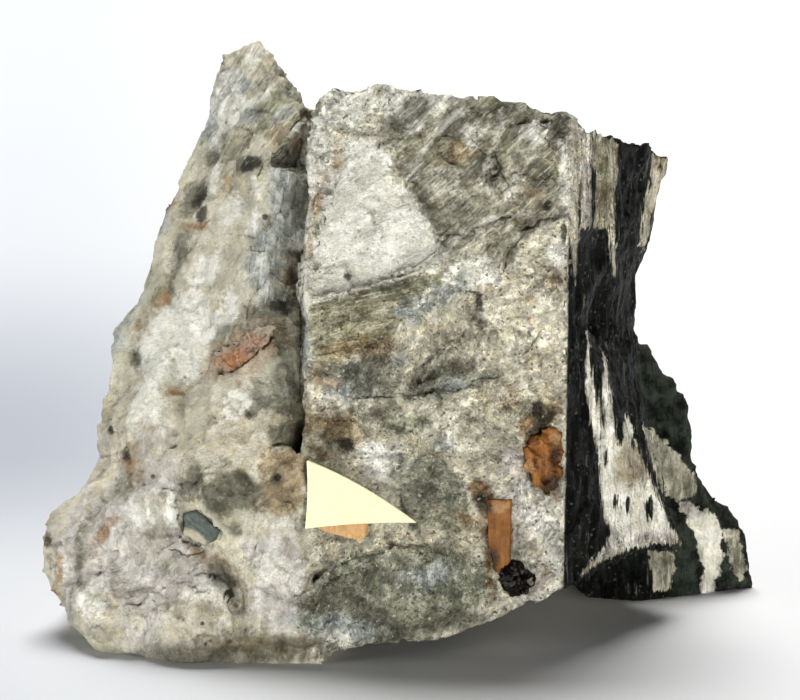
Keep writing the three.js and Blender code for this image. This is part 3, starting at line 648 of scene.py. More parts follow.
MOULDINGS = [
    # outline, height in mm
    (BRIGHT_PLATE, -0.45),
    (BANDED_CRYSTAL, 0.3),
    ([[6.9, 29.4], [9.4, 34.5], [10.4, 36.4], [14.3, 38.0], [14.3, 31.0], [11.0, 30.0]], 0.35),
    ([[1.2, 29.6], [2.0, 29.2], [4.0, 30.4], [6.3, 31.4], [7.8, 34.2], [4.8, 32.9]], -0.35),
    ([[-1.1, 48.4], [-0.3, 42.7], [3.5, 44.8], [5.0, 48.6]], 0.5),
    ([[6.5, 40.4], [9.0, 41.5], [8.8, 46.9], [7.2, 46.2]], -0.4),
    ([[10.2, 42.0], [14.1, 44.5], [14.2, 39.2], [11.0, 39.6]], 0.35),
    ([[-7.9, 5.3], [-5.8, 8.7], [0.1, 9.9], [3.5, 9.7], [7.6, 8.7], [8.2, 6.1], [1.8, 1.9],
      [-8.4, 1.9]], 0.35),
    ([[-21.8, 14.2], [-18.4, 14.0], [-18.6, 10.6], [-21.4, 10.8]], -0.5),
    ([[-16.9, 15.8], [-13.2, 16.3], [-11.7, 14.6], [-12.4, 12.9], [-15.6, 12.6]], 0.4),
    ([[-15.6, 21.8], [-11.6, 22.7], [-8.6, 20.6], [-9.2, 16.8], [-14.5, 16.0], [-16.4, 19.0]], 0.3),
]
# Pits, sunk into the rock and painted dark inside as painted shade.
PITS = [
    # right, up, radius, depth
    [-11.3, 37.8, 0.45, 0.9], [-20.7, 5.3, 0.35, 0.4], [-16.5, 3.5, 0.35, 0.4],
    [-14.2, 1.9, 0.45, 0.5], [-20.8, 15.8, 0.4, 0.4], [-19.7, 4.5, 0.25, 0.3],
    [-22.1, 5.2, 0.25, 0.3], [2.9, 6.1, 0.3, 0.4], [-24.7, 19.7, 0.35, 0.4],
    [-18.2, 24.2, 0.3, 0.3], [-10.2, 15.8, 0.5, 0.5], [-1.2, 5.8, 0.3, 0.3],
    [13.2, 7.3, 0.25, 0.2], [-16.6, 19.3, 0.3, 0.4], [-29.4, 10.2, 0.4, 0.3],
    [-14.3, 6.0, 0.5, 1.0], [-13.9, 5.0, 0.5, 1.0],
]

# Where the rock gives way to its crystals.
SEATS = [
    [8.6, 10.8, 0.9, 3.0], [12.2, 17.4, 1.6, 2.6], [-4.6, 11.1, 2.0, 0.8],
    [9.9, 7.3, 1.3, 1.3], [-16.6, 11.5, 1.3, 1.1, -30],
]

# The lie of the cleavage, in degrees from level, in the parts where it shows plainly.
LIES = [
    (BANDED_CRYSTAL, 13), (UPPER_RIGHT, 42), (TROUGH, 82), (SPIRE, 56), (BRIGHT_PLATE, 25),
]


def wall_layer(surface):
    """How deep each vertex lies in the black layer that covers the rock's right side, in mm, with the
    hollow under the ledge painted black as painted shade too.
    """
    right_of_rim = surface.right - np.interp(surface.up, RIM_UP, RIM_RIGHT)
    wander = 2.5 * ripple(surface.mm, 5.0, 11.0, 4)
    right_of_rim += wander * smooth_step(-surface.facing, -0.1, 0.3)
    past_foot = (surface.right - WALL_FOOT[0], surface.depth - WALL_FOOT[1])
    out_of_wall = WALL_NORMAL[0] * past_foot[0] + WALL_NORMAL[1] * past_foot[1]
    # The hollow is painted black as painted shade.
    hollow = surface.in_outline(HOLLOW)
    return np.maximum(np.minimum(right_of_rim, out_of_wall + LAYER_DEPTH), hollow)


def cleavage_lie(surface):
    """The lie of the cleavage at each vertex, in radians: one for each grain of the rock, and the
    plain ones where the photograph shows them."""
    draw = np.random.default_rng(CLEAVAGE_SEED)
    seeds = draw.uniform(*np.array(cad_box) / MM, (CLEAVAGE_GRAINS, 3))
    tree = kdtree.KDTree(len(seeds))
    for number, seed in enumerate(seeds):
        tree.insert(seed, number)
    tree.balance()
    lies = draw.uniform(-20, 110, len(seeds))
    warped = surface.mm + np.stack([ripple(surface.mm, 2.2, s, 3) for s in (1.0, 4.0, 7.0)], 1)
    lie = np.array([lies[tree.find(p)[1]] for p in warped.tolist()])
    edge = 0.8 * ripple(surface.mm, 1.6, 2.5, 3)
    for outline, degrees in LIES:
        lie = np.where(surface.in_outline(outline) + edge > 0, degrees, lie)
    lie = np.where(wall_layer(surface) > 0, 90, lie)
    return np.radians(lie)


def strokes(surface, lie, length, width, seed):
    """Relief of long strokes that follow the lie of the cleavage."""
    along, across = turned(surface.mm[:, 0], surface.mm[:, 2], lie)
    stretched = np.stack([along / length, surface.mm[:, 1] / (2.2 * width), across / width], 1)
    return ripple(stretched, 1, seed, 3)


def break_up(surface):
    """Gives the rock its broken surface: facets, strokes along the cleavage, cracks and pits."""
    mm = surface.mm
    black = smooth_step(wall_layer(surface), -0.2, 0.6)
    plate = smooth_step(surface.in_outline(BRIGHT_PLATE), -0.4, 0.8)
    foot = smooth_step(-surface.up, -17, -10) * smooth_step(-surface.right, 4, 9)
    lie = cleavage_lie(surface)
    plain_lie = smooth_step(
        surface.patches([BANDED_CRYSTAL, UPPER_RIGHT, TROUGH, SPIRE]), -0.5, 0.5
    )
    streaky = np.clip(0.3 + 0.7 * plain_lie + 0.7 * black, 0, 1)
    flank = smooth_step(surface.in_outline(SMOOTH_FLANK), -0.6, 1.2)
    brink = np.exp(-((surface.facing / 0.3) ** 2))
    left = smooth_step(-surface.right, 7.5, 9.5) * smooth_step(surface.facing, 0, 0.3)
    quiet = (1 - 0.75 * plate - 0.3 * flank) * (1 - 0.7 * brink) * (1 - 0.3 * left)
    heights = 0.3 * ripple(mm, 3.6, 5.0, 3) * quiet
    heights += broken_facets(mm, 5.0, 0.16, 15.0, 0.5) * quiet * (1 - 0.7 * black)
    heights += broken_facets(mm, 2.3, 0.22, 3.0) * quiet * (1 - 0.8 * black)
    heights += broken_facets(mm, 0.95, 0.15, 9.0) * (quiet + 0.3 * foot) * (1 - 0.7 * black)
    heights += 0.32 * strokes(surface, lie, 5.0, 0.8, 6.0) * streaky * quiet
    heights += 0.26 * black * strokes(surface, lie, 9.0, 0.6, 8.0)
    heights += 0.35 * foot * ripple(mm, 1.5, 12.0, 2)
    edge = 0.35 * ripple(mm, 1.1, 2.5, 3)
    for outline, height in MOULDINGS:
        heights += height * smooth_step(surface.in_outline(outline) + edge, -0.15, 0.25)
    ridge, _ = surface.from_lines(RIDGES)
    heights += 0.35 * np.exp(-(((ridge + edge) / 0.4) ** 2))
    crack, _ = surface.from_lines(CRACKS)
    heights -= 0.3 * np.exp(-(((crack + 0.4 * edge) / 0.26) ** 2))
    for right, up, radius, depth in PITS:
        away = radius - surface.in_spots([[right, up, radius, radius]])
        heights -= depth * np.exp(-((away / radius) ** 2))
    heights -= SEAT_DEPTH * smooth_step(surface.in_spots(SEATS), -0.1, 0.4)
    # Bulges stay small, so that the outline stays that of the solid, and its flats stay flat.
    off_table = smooth_step(mm[:, 2], 0.15, 1.6)
    surface.move(np.clip(heights - SURFACE_SINK, -DEEPEST, HIGHEST) * off_table)


def thin_out(mesh):
    """Joins faces until the rock has as many as it may, most of them at its back."""
    surface = Surface(mesh)
    shape = bpy.data.objects.new("weights", mesh)
    group = shape.vertex_groups.new(name="back")
    away = smooth_step(-surface.facing, -0.1, 0.5)
    for step in np.unique(np.round(away, 1)):
        chosen = np.nonzero(np.isclose(np.round(away, 1), step))[0]
        group.add(chosen.tolist(), 0.1 + 0.9 * float(step), "REPLACE")
    bpy.context.scene.collection.objects.link(shape)
    change = shape.modifiers.new("thin", "DECIMATE")
    change.ratio = ROCK_FACES / sum(len(face.vertices) - 2 for face in mesh.polygons)
    change.vertex_group = "back"
    change.vertex_group_factor = 1.0
    view = bpy.context.evaluated_depsgraph_get()
    made = bpy.data.meshes.new_from_object(shape.evaluated_get(view), depsgraph=view)
    bpy.data.objects.remove(shape)
    return made


def scattered(surface, count, sizes, seed):
    """Depth inside spots strewn over the parts of the rock that the photograph doesn't show."""
    draw = np.random.default_rng(seed)
    hidden = np.nonzero(surface.facing < -0.05)[0]
    best = np.full(len(surface.right), OUTSIDE)
    for middle in draw.choice(hidden, count, replace=False):
        size = draw.uniform(*sizes)
        stretch = draw.uniform(0.5, 1.0, 3)
        away = np.sqrt((((surface.mm - surface.mm[middle]) / (size * stretch)) ** 2).sum(1))
        best = np.maximum(best, (1 - away) * size * 0.5)
    return best


# How many spots of each mineral are strewn over the hidden sides, and their sizes in mm.
HIDDEN_SPOTS = {
    "fan": (4, (1.0, 2.0)), "bright": (18, (1.5, 4.0)), "ivory": (16, (1.5, 4.0)),
    "cream": (16, (1.5, 4.0)), "smoky": (16, (2.0, 5.0)),
    "shade": (22, (0.8, 2.0)), "olive": (12, (1.5, 3.5)), "green_grey": (10, (2.5, 5.5)),
    "blue_grey": (8, (1.5, 3.0)), "brown": (14, (1.0, 3.0)), "rust": (10, (0.6, 1.6)),
    "lilac": (10, (1.5, 3.5)), "rosy": (6, (1.0, 2.5)), "stain": (6, (0.5, 1.5)),
    "dark": (14, (0.4, 1.2)),
}


def lay_minerals(surface):
    """Stores how deep each vertex lies in each mineral, for the rock's material."""
    on_wall = smooth_step(wall_layer(surface), -0.3, 0.3)
    for number, (mineral, where) in enumerate(MINERALS.items()):
        field = surface.patches(where.get("outlines", ()), where["spots"])
        count, sizes = HIDDEN_SPOTS[mineral]
        field = np.maximum(field, scattered(surface, count, sizes, SPOTS_SEED + number))
        field = field * (1 - on_wall) + OUTSIDE * on_wall
        stripes = surface.patches(WALL_STRIPES.get(mineral, ()))
        if mineral == "brown":
            stripes = surface.in_spots(FAN_TAN, 4)
        field = np.where(on_wall > 0.5, stripes, field)
        surface.keep(mineral, field)
    pale = surface.patches([o for stripes in WALL_STRIPES.values() for o in stripes])
    holes = surface.in_spots(FAN_SPOTS, 4)
    black = np.minimum(wall_layer(surface), -pale)
    surface.keep("black", np.maximum(black, np.where(pale > 0, holes, OUTSIDE)))
    surface.keep_by_face("lie", cleavage_lie(surface))
    surface.keep("quiet", surface.patches([BRIGHT_PLATE, SMOOTH_FLANK]))
    streaky = surface.patches([BANDED_CRYSTAL, UPPER_RIGHT, TROUGH, SPIRE])
    fan = smooth_step(surface.patches(WALL_STRIPES["fan"]), -0.2, 0.4)
    streaky = np.maximum(smooth_step(streaky, -0.5, 0.5), on_wall) * (1 - 0.65 * fan)
    surface.keep("streaky", 0.1 + 0.9 * streaky)
    face = smooth_step(surface.right, -9, -6.5) * (1 - 0.8 * smooth_step(surface.depth, 0, 9))
    plate, grey = [smooth_step(surface.in_outline(o), -0.4, 0.8) for o in (BRIGHT_PLATE, UPPER_RIGHT)]
    crisp = face * (1 - 0.6 * plate) * (1 - 0.4 * grey) * (1 - 0.8 * fan)
    surface.keep("crisp", 0.2 + 0.8 * crisp)
    surface.keep("behind", smooth_step(surface.depth, 7.8, 9.2))
    surface.keep("past_rim", smooth_step(surface.right, 14.6, 16.2))
    near_crack, crack_side = surface.from_lines(CRACKS)
    surface.keep("near_crack", near_crack)
    surface.keep("crack_side", crack_side)
    surface.keep("near_ridge", surface.from_lines(RIDGES)[0])
    surface.keep("pit", surface.in_spots([[r, u, size, size] for r, u, size, _ in PITS]))


# Shader nodes


def colour(code):
    """A colour as the render takes it, from its six-digit screen code."""
    shares = [int(code[i : i + 2], 16) / 255 for i in (0, 2, 4)]
    return (*[s / 12.92 if s < 0.04045 else ((s + 0.055) / 1.055) ** 2.4 for s in shares], 1.0)


def add(tree, kind, inputs=None, **settings):
    """Adds a shader node with those settings, and sets or links its inputs."""
    node = tree.nodes.new("ShaderNode" + kind)
    for name, value in settings.items():
        setattr(node, name, value)
    for name, value in (inputs or {}).items():
        if isinstance(value, bpy.types.NodeSocket):
            tree.links.new(value, node.inputs[name])
        else:
            node.inputs[name].default_value = value
    return node


def maths(tree, operation, first, second=0.0, third=0.0):
    """The value of a sum of that kind."""
    node = add(tree, "Math", {0: first, 1: second, 2: third}, operation=operation)
    return node.outputs[0]


def blend(tree, share, first, second, kind="MIX"):
    """Colour that goes from the first to the second by that share."""
    node = add(
        tree, "Mix", {"Factor": share, 6: first, 7: second}, data_type="RGBA", blend_type=kind
    )
    return node.outputs[2]


def span(tree, value, low, high, to_low=0.0, to_high=1.0, smooth=False):
    """The value taken from one range to another and kept within it."""
    node = add(
        tree,
        "MapRange",
        {"Value": value, "From Min": low, "From Max": high, "To Min": to_low, "To Max": to_high},
        interpolation_type="SMOOTHSTEP" if smooth else "LINEAR",
    )
    return node.outputs[0]


def stored(tree, name):
    """The value kept at each vertex under that name."""
    return add(tree, "Attribute", attribute_name=name).outputs["Fac"]


def place_in_mm(tree):
    """Each point's place in the piece, in millimetres."""
    here = add(tree, "TexCoord").outputs["Object"]
    return add(tree, "VectorMath", {0: here, "Scale": 1 / MM}, operation="SCALE").outputs[0]


def stretched(tree, place, turn, sizes):
    """A place turned and divided by sizes, for noise that is drawn out along one direction."""
    inputs = {"Vector": place, "Rotation": turn, "Scale": [1 / size for size in sizes]}
    return add(tree, "Mapping", inputs, vector_type="POINT").outputs[0]


def clouds(tree, place, size, detail=3.0, roughness=0.55, distortion=0.0):
    """Noise with clouds of that size."""
    inputs = {
        "Vector": place, "Scale": 1 / size, "Detail": detail, "Roughness": roughness,
        "Distortion": distortion,
    }
    return add(tree, "TexNoise", inputs)


def group(name, inputs, outputs):
    """An empty node group with those inputs and outputs, and its two end nodes."""
    tree = bpy.data.node_groups.new(name, "ShaderNodeTree")
    for label, kind, value in inputs:
        made = tree.interface.new_socket(name=label, in_out="INPUT", socket_type="NodeSocket" + kind)
        if value is not None:
            made.default_value = value
    for label, kind in outputs:
        tree.interface.new_socket(name=label, in_out="OUTPUT", socket_type="NodeSocket" + kind)
    return tree, tree.nodes.new("NodeGroupInput").outputs, tree.nodes.new("NodeGroupOutput").inputs


def crystal_grains_group():
    """Packed crystal grains: a random tone for each grain, and the height of its tilted face."""
    tree, given, out = group(
        "crystal_grains",
        [("Place", "Vector", None), ("Grain Size", "Float", 1.0), ("Warp", "Float", 0.3)],
        [("Tone", "Float"), ("Height", "Float")],
    )
    scale = maths(tree, "DIVIDE", 1.0, given["Grain Size"])
    sized = add(tree, "VectorMath", {0: given["Place"], "Scale": scale}, operation="SCALE").outputs[0]
    wave = add(tree, "TexNoise", {"Vector": sized, "Scale": 1.7, "Detail": 1.0}).outputs["Color"]
    centred = add(tree, "VectorMath", {0: wave, 1: (0.5, 0.5, 0.5)}, operation="SUBTRACT").outputs[0]
    push = add(tree, "VectorMath", {0: centred, "Scale": given["Warp"]}, operation="SCALE").outputs[0]
    warped = add(tree, "VectorMath", {0: sized, 1: push}, operation="ADD").outputs[0]
    cells = add(tree, "TexVoronoi", {"Vector": warped, "Scale": 1.0})
    across = add(
        tree, "VectorMath", {0: warped, 1: cells.outputs["Position"]}, operation="SUBTRACT"
    ).outputs[0]
    tilt = add(
        tree, "VectorMath", {0: cells.outputs["Color"], 1: (0.5, 0.5, 0.5)}, operation="SUBTRACT"
    ).outputs[0]
    height = add(tree, "VectorMath", {0: across, 1: tilt}, operation="DOT_PRODUCT").outputs["Value"]
    tone = add(tree, "SeparateColor", {"Color": cells.outputs["Color"]}).outputs[0]
    tree.links.new(tone, out["Tone"])
    tree.links.new(maths(tree, "MULTIPLY", height, given["Grain Size"]), out["Height"])
    return tree


def ragged_patch_group():
    """A patch with a ragged outline, from the depth inside it in mm and noise around 0.5."""
    tree, given, out = group(
        "ragged_patch",
        [
            ("Depth Inside", "Float", 0.0), ("Noise", "Float", 0.5), ("Raggedness", "Float", 1.0),
            ("Softness", "Float", 0.3),
        ],
        [("Mask", "Float")],
    )
    shift = maths(tree, "MULTIPLY", maths(tree, "SUBTRACT", given["Noise"], 0.5), given["Raggedness"])
    depth = maths(tree, "ADD", given["Depth Inside"], shift)
    low = maths(tree, "MULTIPLY", given["Softness"], -1.0)
    mask = span(tree, depth, low, given["Softness"], smooth=True)
    tree.links.new(mask, out["Mask"])
    return tree


def cleavage_strokes_group():
    """Fine strokes along the cleavage: a tone, which also serves as their height."""
    tree, given, out = group(
        "cleavage_strokes",
        [
            ("Place", "Vector", None), ("Lie", "Float", 0.0), ("Length", "Float", 4.0),
            ("Width", "Float", 0.4),
        ],
        [("Tone", "Float")],
    )
    turn = add(
        tree, "VectorRotate", {"Vector": given["Place"], "Angle": given["Lie"]}, rotation_type="Y_AXIS"
    ).outputs[0]
    sizes = add(
        tree, "CombineXYZ",
        {"X": given["Length"], "Y": maths(tree, "MULTIPLY", given["Width"], 2.2), "Z": given["Width"]},
    ).outputs[0]
    drawn_out = add(tree, "VectorMath", {0: turn, 1: sizes}, operation="DIVIDE").outputs[0]
    inputs = {"Vector": drawn_out, "Scale": 1.0, "Detail": 3.0, "Roughness": 0.62}
    tree.links.new(add(tree, "TexNoise", inputs).outputs["Fac"], out["Tone"])
    return tree


def cleavage_flakes_group():
    """Long flat flakes along the cleavage: a random tone for each, and its tilted face's height."""
    tree, given, out = group(
        "cleavage_flakes",
        [
            ("Place", "Vector", None), ("Lie", "Float", 0.0), ("Length", "Float", 3.0),
            ("Width", "Float", 1.0),
        ],
        [("Tone", "Float"), ("Height", "Float")],
    )
    turn = add(
        tree, "VectorRotate", {"Vector": given["Place"], "Angle": given["Lie"]}, rotation_type="Y_AXIS"
    ).outputs[0]
    sizes = add(
        tree, "CombineXYZ",
        {"X": given["Length"], "Y": maths(tree, "MULTIPLY", given["Width"], 1.6), "Z": given["Width"]},
    ).outputs[0]
    drawn_out = add(tree, "VectorMath", {0: turn, 1: sizes}, operation="DIVIDE").outputs[0]
    cells = tree.nodes.new("ShaderNodeGroup")
    cells.node_tree = GRAINS
    cells.inputs["Warp"].default_value = 0.9
    tree.links.new(drawn_out, cells.inputs["Place"])
    tree.links.new(cells.outputs["Tone"], out["Tone"])
    tree.links.new(maths(tree, "MULTIPLY", cells.outputs["Height"], given["Width"]), out["Height"])
    return tree


GRAINS = crystal_grains_group()
RAGGED = ragged_patch_group()
STROKES = cleavage_strokes_group()
FLAKES = cleavage_flakes_group()


def use(tree, made_group, **inputs):
    """Places a node group in a material, with its own values."""
    node = tree.nodes.new("ShaderNodeGroup")
    node.node_tree = made_group
    for name, value in inputs.items():
        socket = node.inputs[name.replace("_", " ")]
        if isinstance(value, bpy.types.NodeSocket):
            tree.links.new(value, socket)
        else:
            socket.default_value = value
    return node.outputs


def new_material(name, **constants):
    """A material, its node tree and its surface shader with constants set on its own sockets."""
    material = bpy.data.materials.new(name)
    material.use_nodes = True
    tree = material.node_tree
    shader = tree.nodes["Principled BSDF"]
    for label, value in constants.items():
        shader.inputs[label.replace("_", " ")].default_value = value
    return material, tree, shader


def finish_with(tree, shader, base, height, distance, roughness=None):
    """Links a base colour, a bump height in mm and a roughness to the surface shader."""
    tree.links.new(base, shader.inputs["Base Color"])
    bump = add(tree, "Bump", {"Height": height, "Distance": distance * MM, "Strength": 1.0})
    tree.links.new(bump.outputs[0], shader.inputs["Normal"])
    if roughness is not None:
        tree.links.new(roughness, shader.inputs["Roughness"])


# Each mineral's darker and paler colour, how ragged and how soft its outline is in mm, how far it
# covers what is under it, and which of three noises breaks it up.
MINERAL_LOOKS = {
    # The fan is painted near white, paler than its fibres: painted light for the wall, which the lamps
    # barely reach.
    "fan": ("efebd6", "fffdf0", 0.7, 0.4, 1.0, 0),
    "lilac": ("b3aca2", "d3cfc7", 1.6, 0.5, 0.85, 1),
    "ivory": ("bbb49d", "dcd7c4", 1.4, 0.5, 0.85, 1),
    "cream": ("b9ae92", "d2cbb8", 1.8, 0.5, 0.8, 0),
    "smoky": ("86836e", "b0ad9b", 1.5, 0.4, 0.85, 2),
    "green_grey": ("5a5e4d", "9b9b87", 1.8, 0.5, 0.88, 1),
    "olive": ("757255", "a09c82", 1.3, 0.4, 0.85, 0),
    "blue_grey": ("8a918e", "b4b8b2", 1.3, 0.5, 0.8, 2),
    "bright": ("d6d4c5", "edebe0", 1.3, 0.35, 0.85, 1),
    "brown": ("6f5836", "9a8562", 1.5, 0.6, 0.75, 2),
    "shade": ("47463a", "6b695a", 0.8, 0.35, 0.85, 0),
    "rosy": ("8c7459", "b8a286", 1.2, 0.5, 0.6, 0),
    "rust": ("7a5630", "a5814f", 0.8, 0.3, 0.75, 1),
    "stain": ("33220f", "6a4e2e", 0.8, 0.4, 0.85, 1),
    "dark": ("1c1c15", "333226", 0.5, 0.18, 0.9, 2),
}
RAGGED_SHARE = 3.2


def rock_tones(tree, place, lie, streaky, crisp):
    """The factor that flakes, strokes, clouds and fine grains put on the rock's colour, the height
    of its relief, and the tones of its fine grains and strokes."""
    clouded = clouds(tree, place, 1.5, 7.0, 0.72).outputs["Fac"]
    domain = use(tree, GRAINS, Place=place, Grain_Size=3.3, Warp=1.3)["Tone"]
    flakes = use(tree, FLAKES, Place=place, Lie=lie, Length=2.6, Width=0.9)
    chips = use(tree, FLAKES, Place=place, Lie=lie, Length=0.75, Width=0.42)
    fine = use(tree, GRAINS, Place=place, Grain_Size=0.2, Warp=1.2)
    stroke = use(tree, STROKES, Place=place, Lie=lie, Length=3.2, Width=0.3)["Tone"]
    band = use(tree, STROKES, Place=place, Lie=lie, Length=7.0, Width=1.0)["Tone"]
    banded = span(tree, band, 0.35, 0.65, 0.76, 1.24)
    streak = maths(tree, "MULTIPLY", span(tree, stroke, 0.3, 0.7, 0.66, 1.34), banded)
    streak = add(tree, "Mix", {"Factor": streaky, 2: 1.0, 3: streak}).outputs[0]
    sharp = maths(
        tree, "MULTIPLY", span(tree, chips["Tone"], 0.0, 1.0, 0.72, 1.28),
        span(tree, fine["Tone"], 0.0, 1.0, 0.74, 1.26),
    )
    sharp = add(tree, "Mix", {"Factor": crisp, 2: 1.0, 3: sharp}).outputs[0]
    broad = maths(tree, "MULTIPLY", span(tree, clouded, 0.3, 0.7, 0.62, 1.38), streak)
    broad = maths(tree, "MULTIPLY", broad, span(tree, domain, 0.0, 1.0, 0.86, 1.14))
    broad = maths(tree, "MULTIPLY", broad, span(tree, flakes["Tone"], 0.0, 1.0, 0.8, 1.2))
    share = span(tree, crisp, 0.2, 0.8, 0.55, 1.0)
    broad = add(tree, "Mix", {"Factor": share, 2: 1.0, 3: broad}).outputs[0]
    factor = maths(tree, "MULTIPLY", broad, sharp)
    height = maths(tree, "MULTIPLY", chips["Height"], 0.7)
    height = maths(tree, "MULTIPLY_ADD", flakes["Height"], 0.4, height)
    height = maths(tree, "MULTIPLY_ADD", maths(tree, "MULTIPLY", fine["Height"], crisp), 1.0, height)
    height = maths(tree, "MULTIPLY_ADD", maths(tree, "MULTIPLY", stroke, streaky), 0.35, height)
    height = maths(tree, "MULTIPLY_ADD", clouded, 0.5, height)
    return factor, height, fine["Tone"], stroke


def rock_material():
    """Coarse feldspar with its minerals, and the black fibrous layer on its right side."""
    material, tree, shader = new_material("broken_feldspar_rock", Specular_IOR_Level=0.14)
    place = place_in_mm(tree)
    lie = stored(tree, "lie")
    streaky = stored(tree, "streaky")
    crisp = stored(tree, "crisp")
    factor, height, fine, stroke = rock_tones(tree, place, lie, streaky, crisp)
    fibre = use(tree, STROKES, Place=place, Lie=math.pi / 2, Length=7.0, Width=0.34)["Tone"]
    ragged = add(
        tree, "SeparateColor", {"Color": clouds(tree, place, 1.5, 6.0, 0.7).outputs["Color"]}
    ).outputs
    mottle = clouds(tree, place, 4.2, 4.0, 0.6).outputs["Fac"]

    # Feldspar, paler and darker by areas.
    base = blend(tree, span(tree, mottle, 0.38, 0.62), colour("aba691"), colour("d0cbb6"))
    warm = span(tree, ragged[0], 0.5, 0.66, 0, 0.4)
    base = blend(tree, warm, base, colour("c8b992"))
    for mineral, (deep_code, pale_code, raggedness, softness, cover, channel) in MINERAL_LOOKS.items():
        mask = use(
            tree, RAGGED, Depth_Inside=stored(tree, mineral), Noise=ragged[channel],
            Raggedness=raggedness * RAGGED_SHARE, Softness=softness,
        )["Mask"]
        shares = span(tree, ragged[(channel + 1) % 3], 0.44, 0.56)
        tones = blend(tree, shares, colour(deep_code), colour(pale_code))
        base = blend(tree, maths(tree, "MULTIPLY", mask, cover), base, tones)
    # Pale along the ridges: partly their own pale colour, partly painted highlight on their crests.
    wander = maths(tree, "MULTIPLY_ADD", ragged[2], 1.6, -0.8)
    ridge = span(tree, maths(tree, "ADD", stored(tree, "near_ridge"), wander), 0.1, 0.45, 0.65, 0.0)
    base = blend(tree, ridge, base, colour("d8d5c5"))

    # The bright plate and the flank are smooth, so they take less of the grain.
    plain = span(tree, stored(tree, "quiet"), -0.3, 0.8, 0.0, 0.5)
    factor = add(tree, "Mix", {"Factor": plain, 2: factor, 3: 1.0}).outputs[0]
    grey = add(tree, "CombineColor", {"Red": factor, "Green": factor, "Blue": factor}).outputs[0]
    pale = blend(tree, 1.0, base, grey, "MULTIPLY")
    # Painted light on the strokes: paler along their raised crests as painted highlight, darker in the
    # grooves between them as painted shade.
    edges = maths(tree, "MULTIPLY", span(tree, stroke, 0.6, 0.66, 0, 0.6), streaky)
    pale = blend(tree, edges, pale, colour("dedac8"))
    painted_stroke_shade = maths(tree, "MULTIPLY", span(tree, stroke, 0.38, 0.32, 0, 0.6), streaky)
    pale = blend(tree, painted_stroke_shade, pale, colour("55523f"))
    # Painted glints: tiny highlights painted into the colour of the finest grains.
    glints = maths(tree, "MULTIPLY", span(tree, fine, 0.98, 0.995, 0, 0.35), crisp)
    pale = blend(tree, glints, pale, colour("f2f0e6"))
    specks = maths(tree, "MULTIPLY", span(tree, fine, 0.05, 0.02, 0, 0.7), crisp)
    pale = blend(tree, specks, pale, colour("4c4736"))

    # Painted shade in the cracks and pits: darker along the crack lines and inside the pits.
    wander = maths(tree, "MULTIPLY_ADD", ragged[1], 1.0, -0.5)
    side = maths(tree, "ABSOLUTE", maths(tree, "ADD", stored(tree, "crack_side"), wander))
    crack = maths(
        tree, "MULTIPLY", span(tree, side, 0.04, 0.13, 0.85, 0.0),
        span(tree, stored(tree, "near_crack"), 0.4, 0.6, 1.0, 0.0),
    )
    crack = maths(tree, "MULTIPLY", crack, span(tree, ragged[0], 0.42, 0.54, 0.15, 1.0))
    pit = span(tree, stored(tree, "pit"), 0.08, 0.2, 0.0, 0.85)
    pale = blend(tree, maths(tree, "MAXIMUM", crack, pit), pale, colour("2a2419"))

    # The black layer: fibres on the wall, lumps on the lobe behind it.
    behind = stored(tree, "behind")
    grain = maths(tree, "MULTIPLY_ADD", fibre, 0.75, maths(tree, "MULTIPLY", ragged[2], 0.25))
    grain = add(tree, "Mix", {"Factor": behind, 2: grain, 3: ragged[2]}).outputs[0]
    deep = use(
        tree, RAGGED, Depth_Inside=stored(tree, "black"), Noise=grain,
        Raggedness=span(tree, stored(tree, "past_rim"), 0.0, 1.0, 0.5, 2.2), Softness=0.1
    )["Mask"]
    ink = blend(tree, span(tree, fibre, 0.5, 0.68), colour("020302"), colour("20241d"))
    # Painted light on the black: sheen painted along the pale fibres, and glints on the finest grains.
    ink = blend(tree, span(tree, fibre, 0.64, 0.7, 0, 0.6), ink, colour("7d7f72"))
    ink = blend(tree, span(tree, fine, 0.95, 0.98, 0, 0.5), ink, colour("6a6e5e"))
    lumps = blend(tree, span(tree, ragged[0], 0.42, 0.6), colour("10130f"), colour("3c4339"))
    base = blend(tree, deep, pale, blend(tree, behind, ink, lumps))

    roughness = span(tree, fine, 0.0, 1.0, 0.3, 0.7)
    roughness = add(tree, "Mix", {"Factor": deep, 2: roughness, 3: 0.5}).outputs[0]
    finish_with(tree, shader, base, height, 1.0, roughness)
    return material


def lavenite_material(name, main, deep, light, stroke_width, roughness):
    """Orange-brown resinous crystal: fine strokes along it, darker and paler patches."""
    material, tree, shader = new_material(
        name, Specular_IOR_Level=0.25, Subsurface_Weight=0.12, Subsurface_Scale=0.6 * MM
    )
    place = place_in_mm(tree)
    stroke = use(tree, STROKES, Place=place, Lie=math.pi / 2, Length=3.0, Width=stroke_width)["Tone"]
    grains = use(tree, GRAINS, Place=place, Grain_Size=0.35, Warp=0.7)
    cloud = clouds(tree, place, 0.9, 4.0, 0.6).outputs["Fac"]
    base = blend(tree, span(tree, cloud, 0.35, 0.65), colour(deep), colour(main))
    base = blend(tree, span(tree, stroke, 0.45, 0.75, 0, 0.55), base, colour(light))
    pale = use(tree, RAGGED, Depth_Inside=stored(tree, "pale"), Noise=cloud, Raggedness=1.0,
               Softness=0.2)["Mask"]
    base = blend(tree, maths(tree, "MULTIPLY", pale, 0.3), base, colour("c9ab80"))
    black = use(tree, RAGGED, Depth_Inside=stored(tree, "burnt"), Noise=cloud, Raggedness=1.6,
                Softness=0.3)["Mask"]
    base = blend(tree, maths(tree, "MULTIPLY", black, 0.9), base, colour("23150b"))
    height = maths(tree, "MULTIPLY_ADD", stroke, 0.10, maths(tree, "MULTIPLY", grains["Height"], 0.3))
    gloss = span(tree, cloud, 0.3, 0.7, roughness, roughness + 0.15)
    finish_with(tree, shader, base, height, 1.0, gloss)
    return material


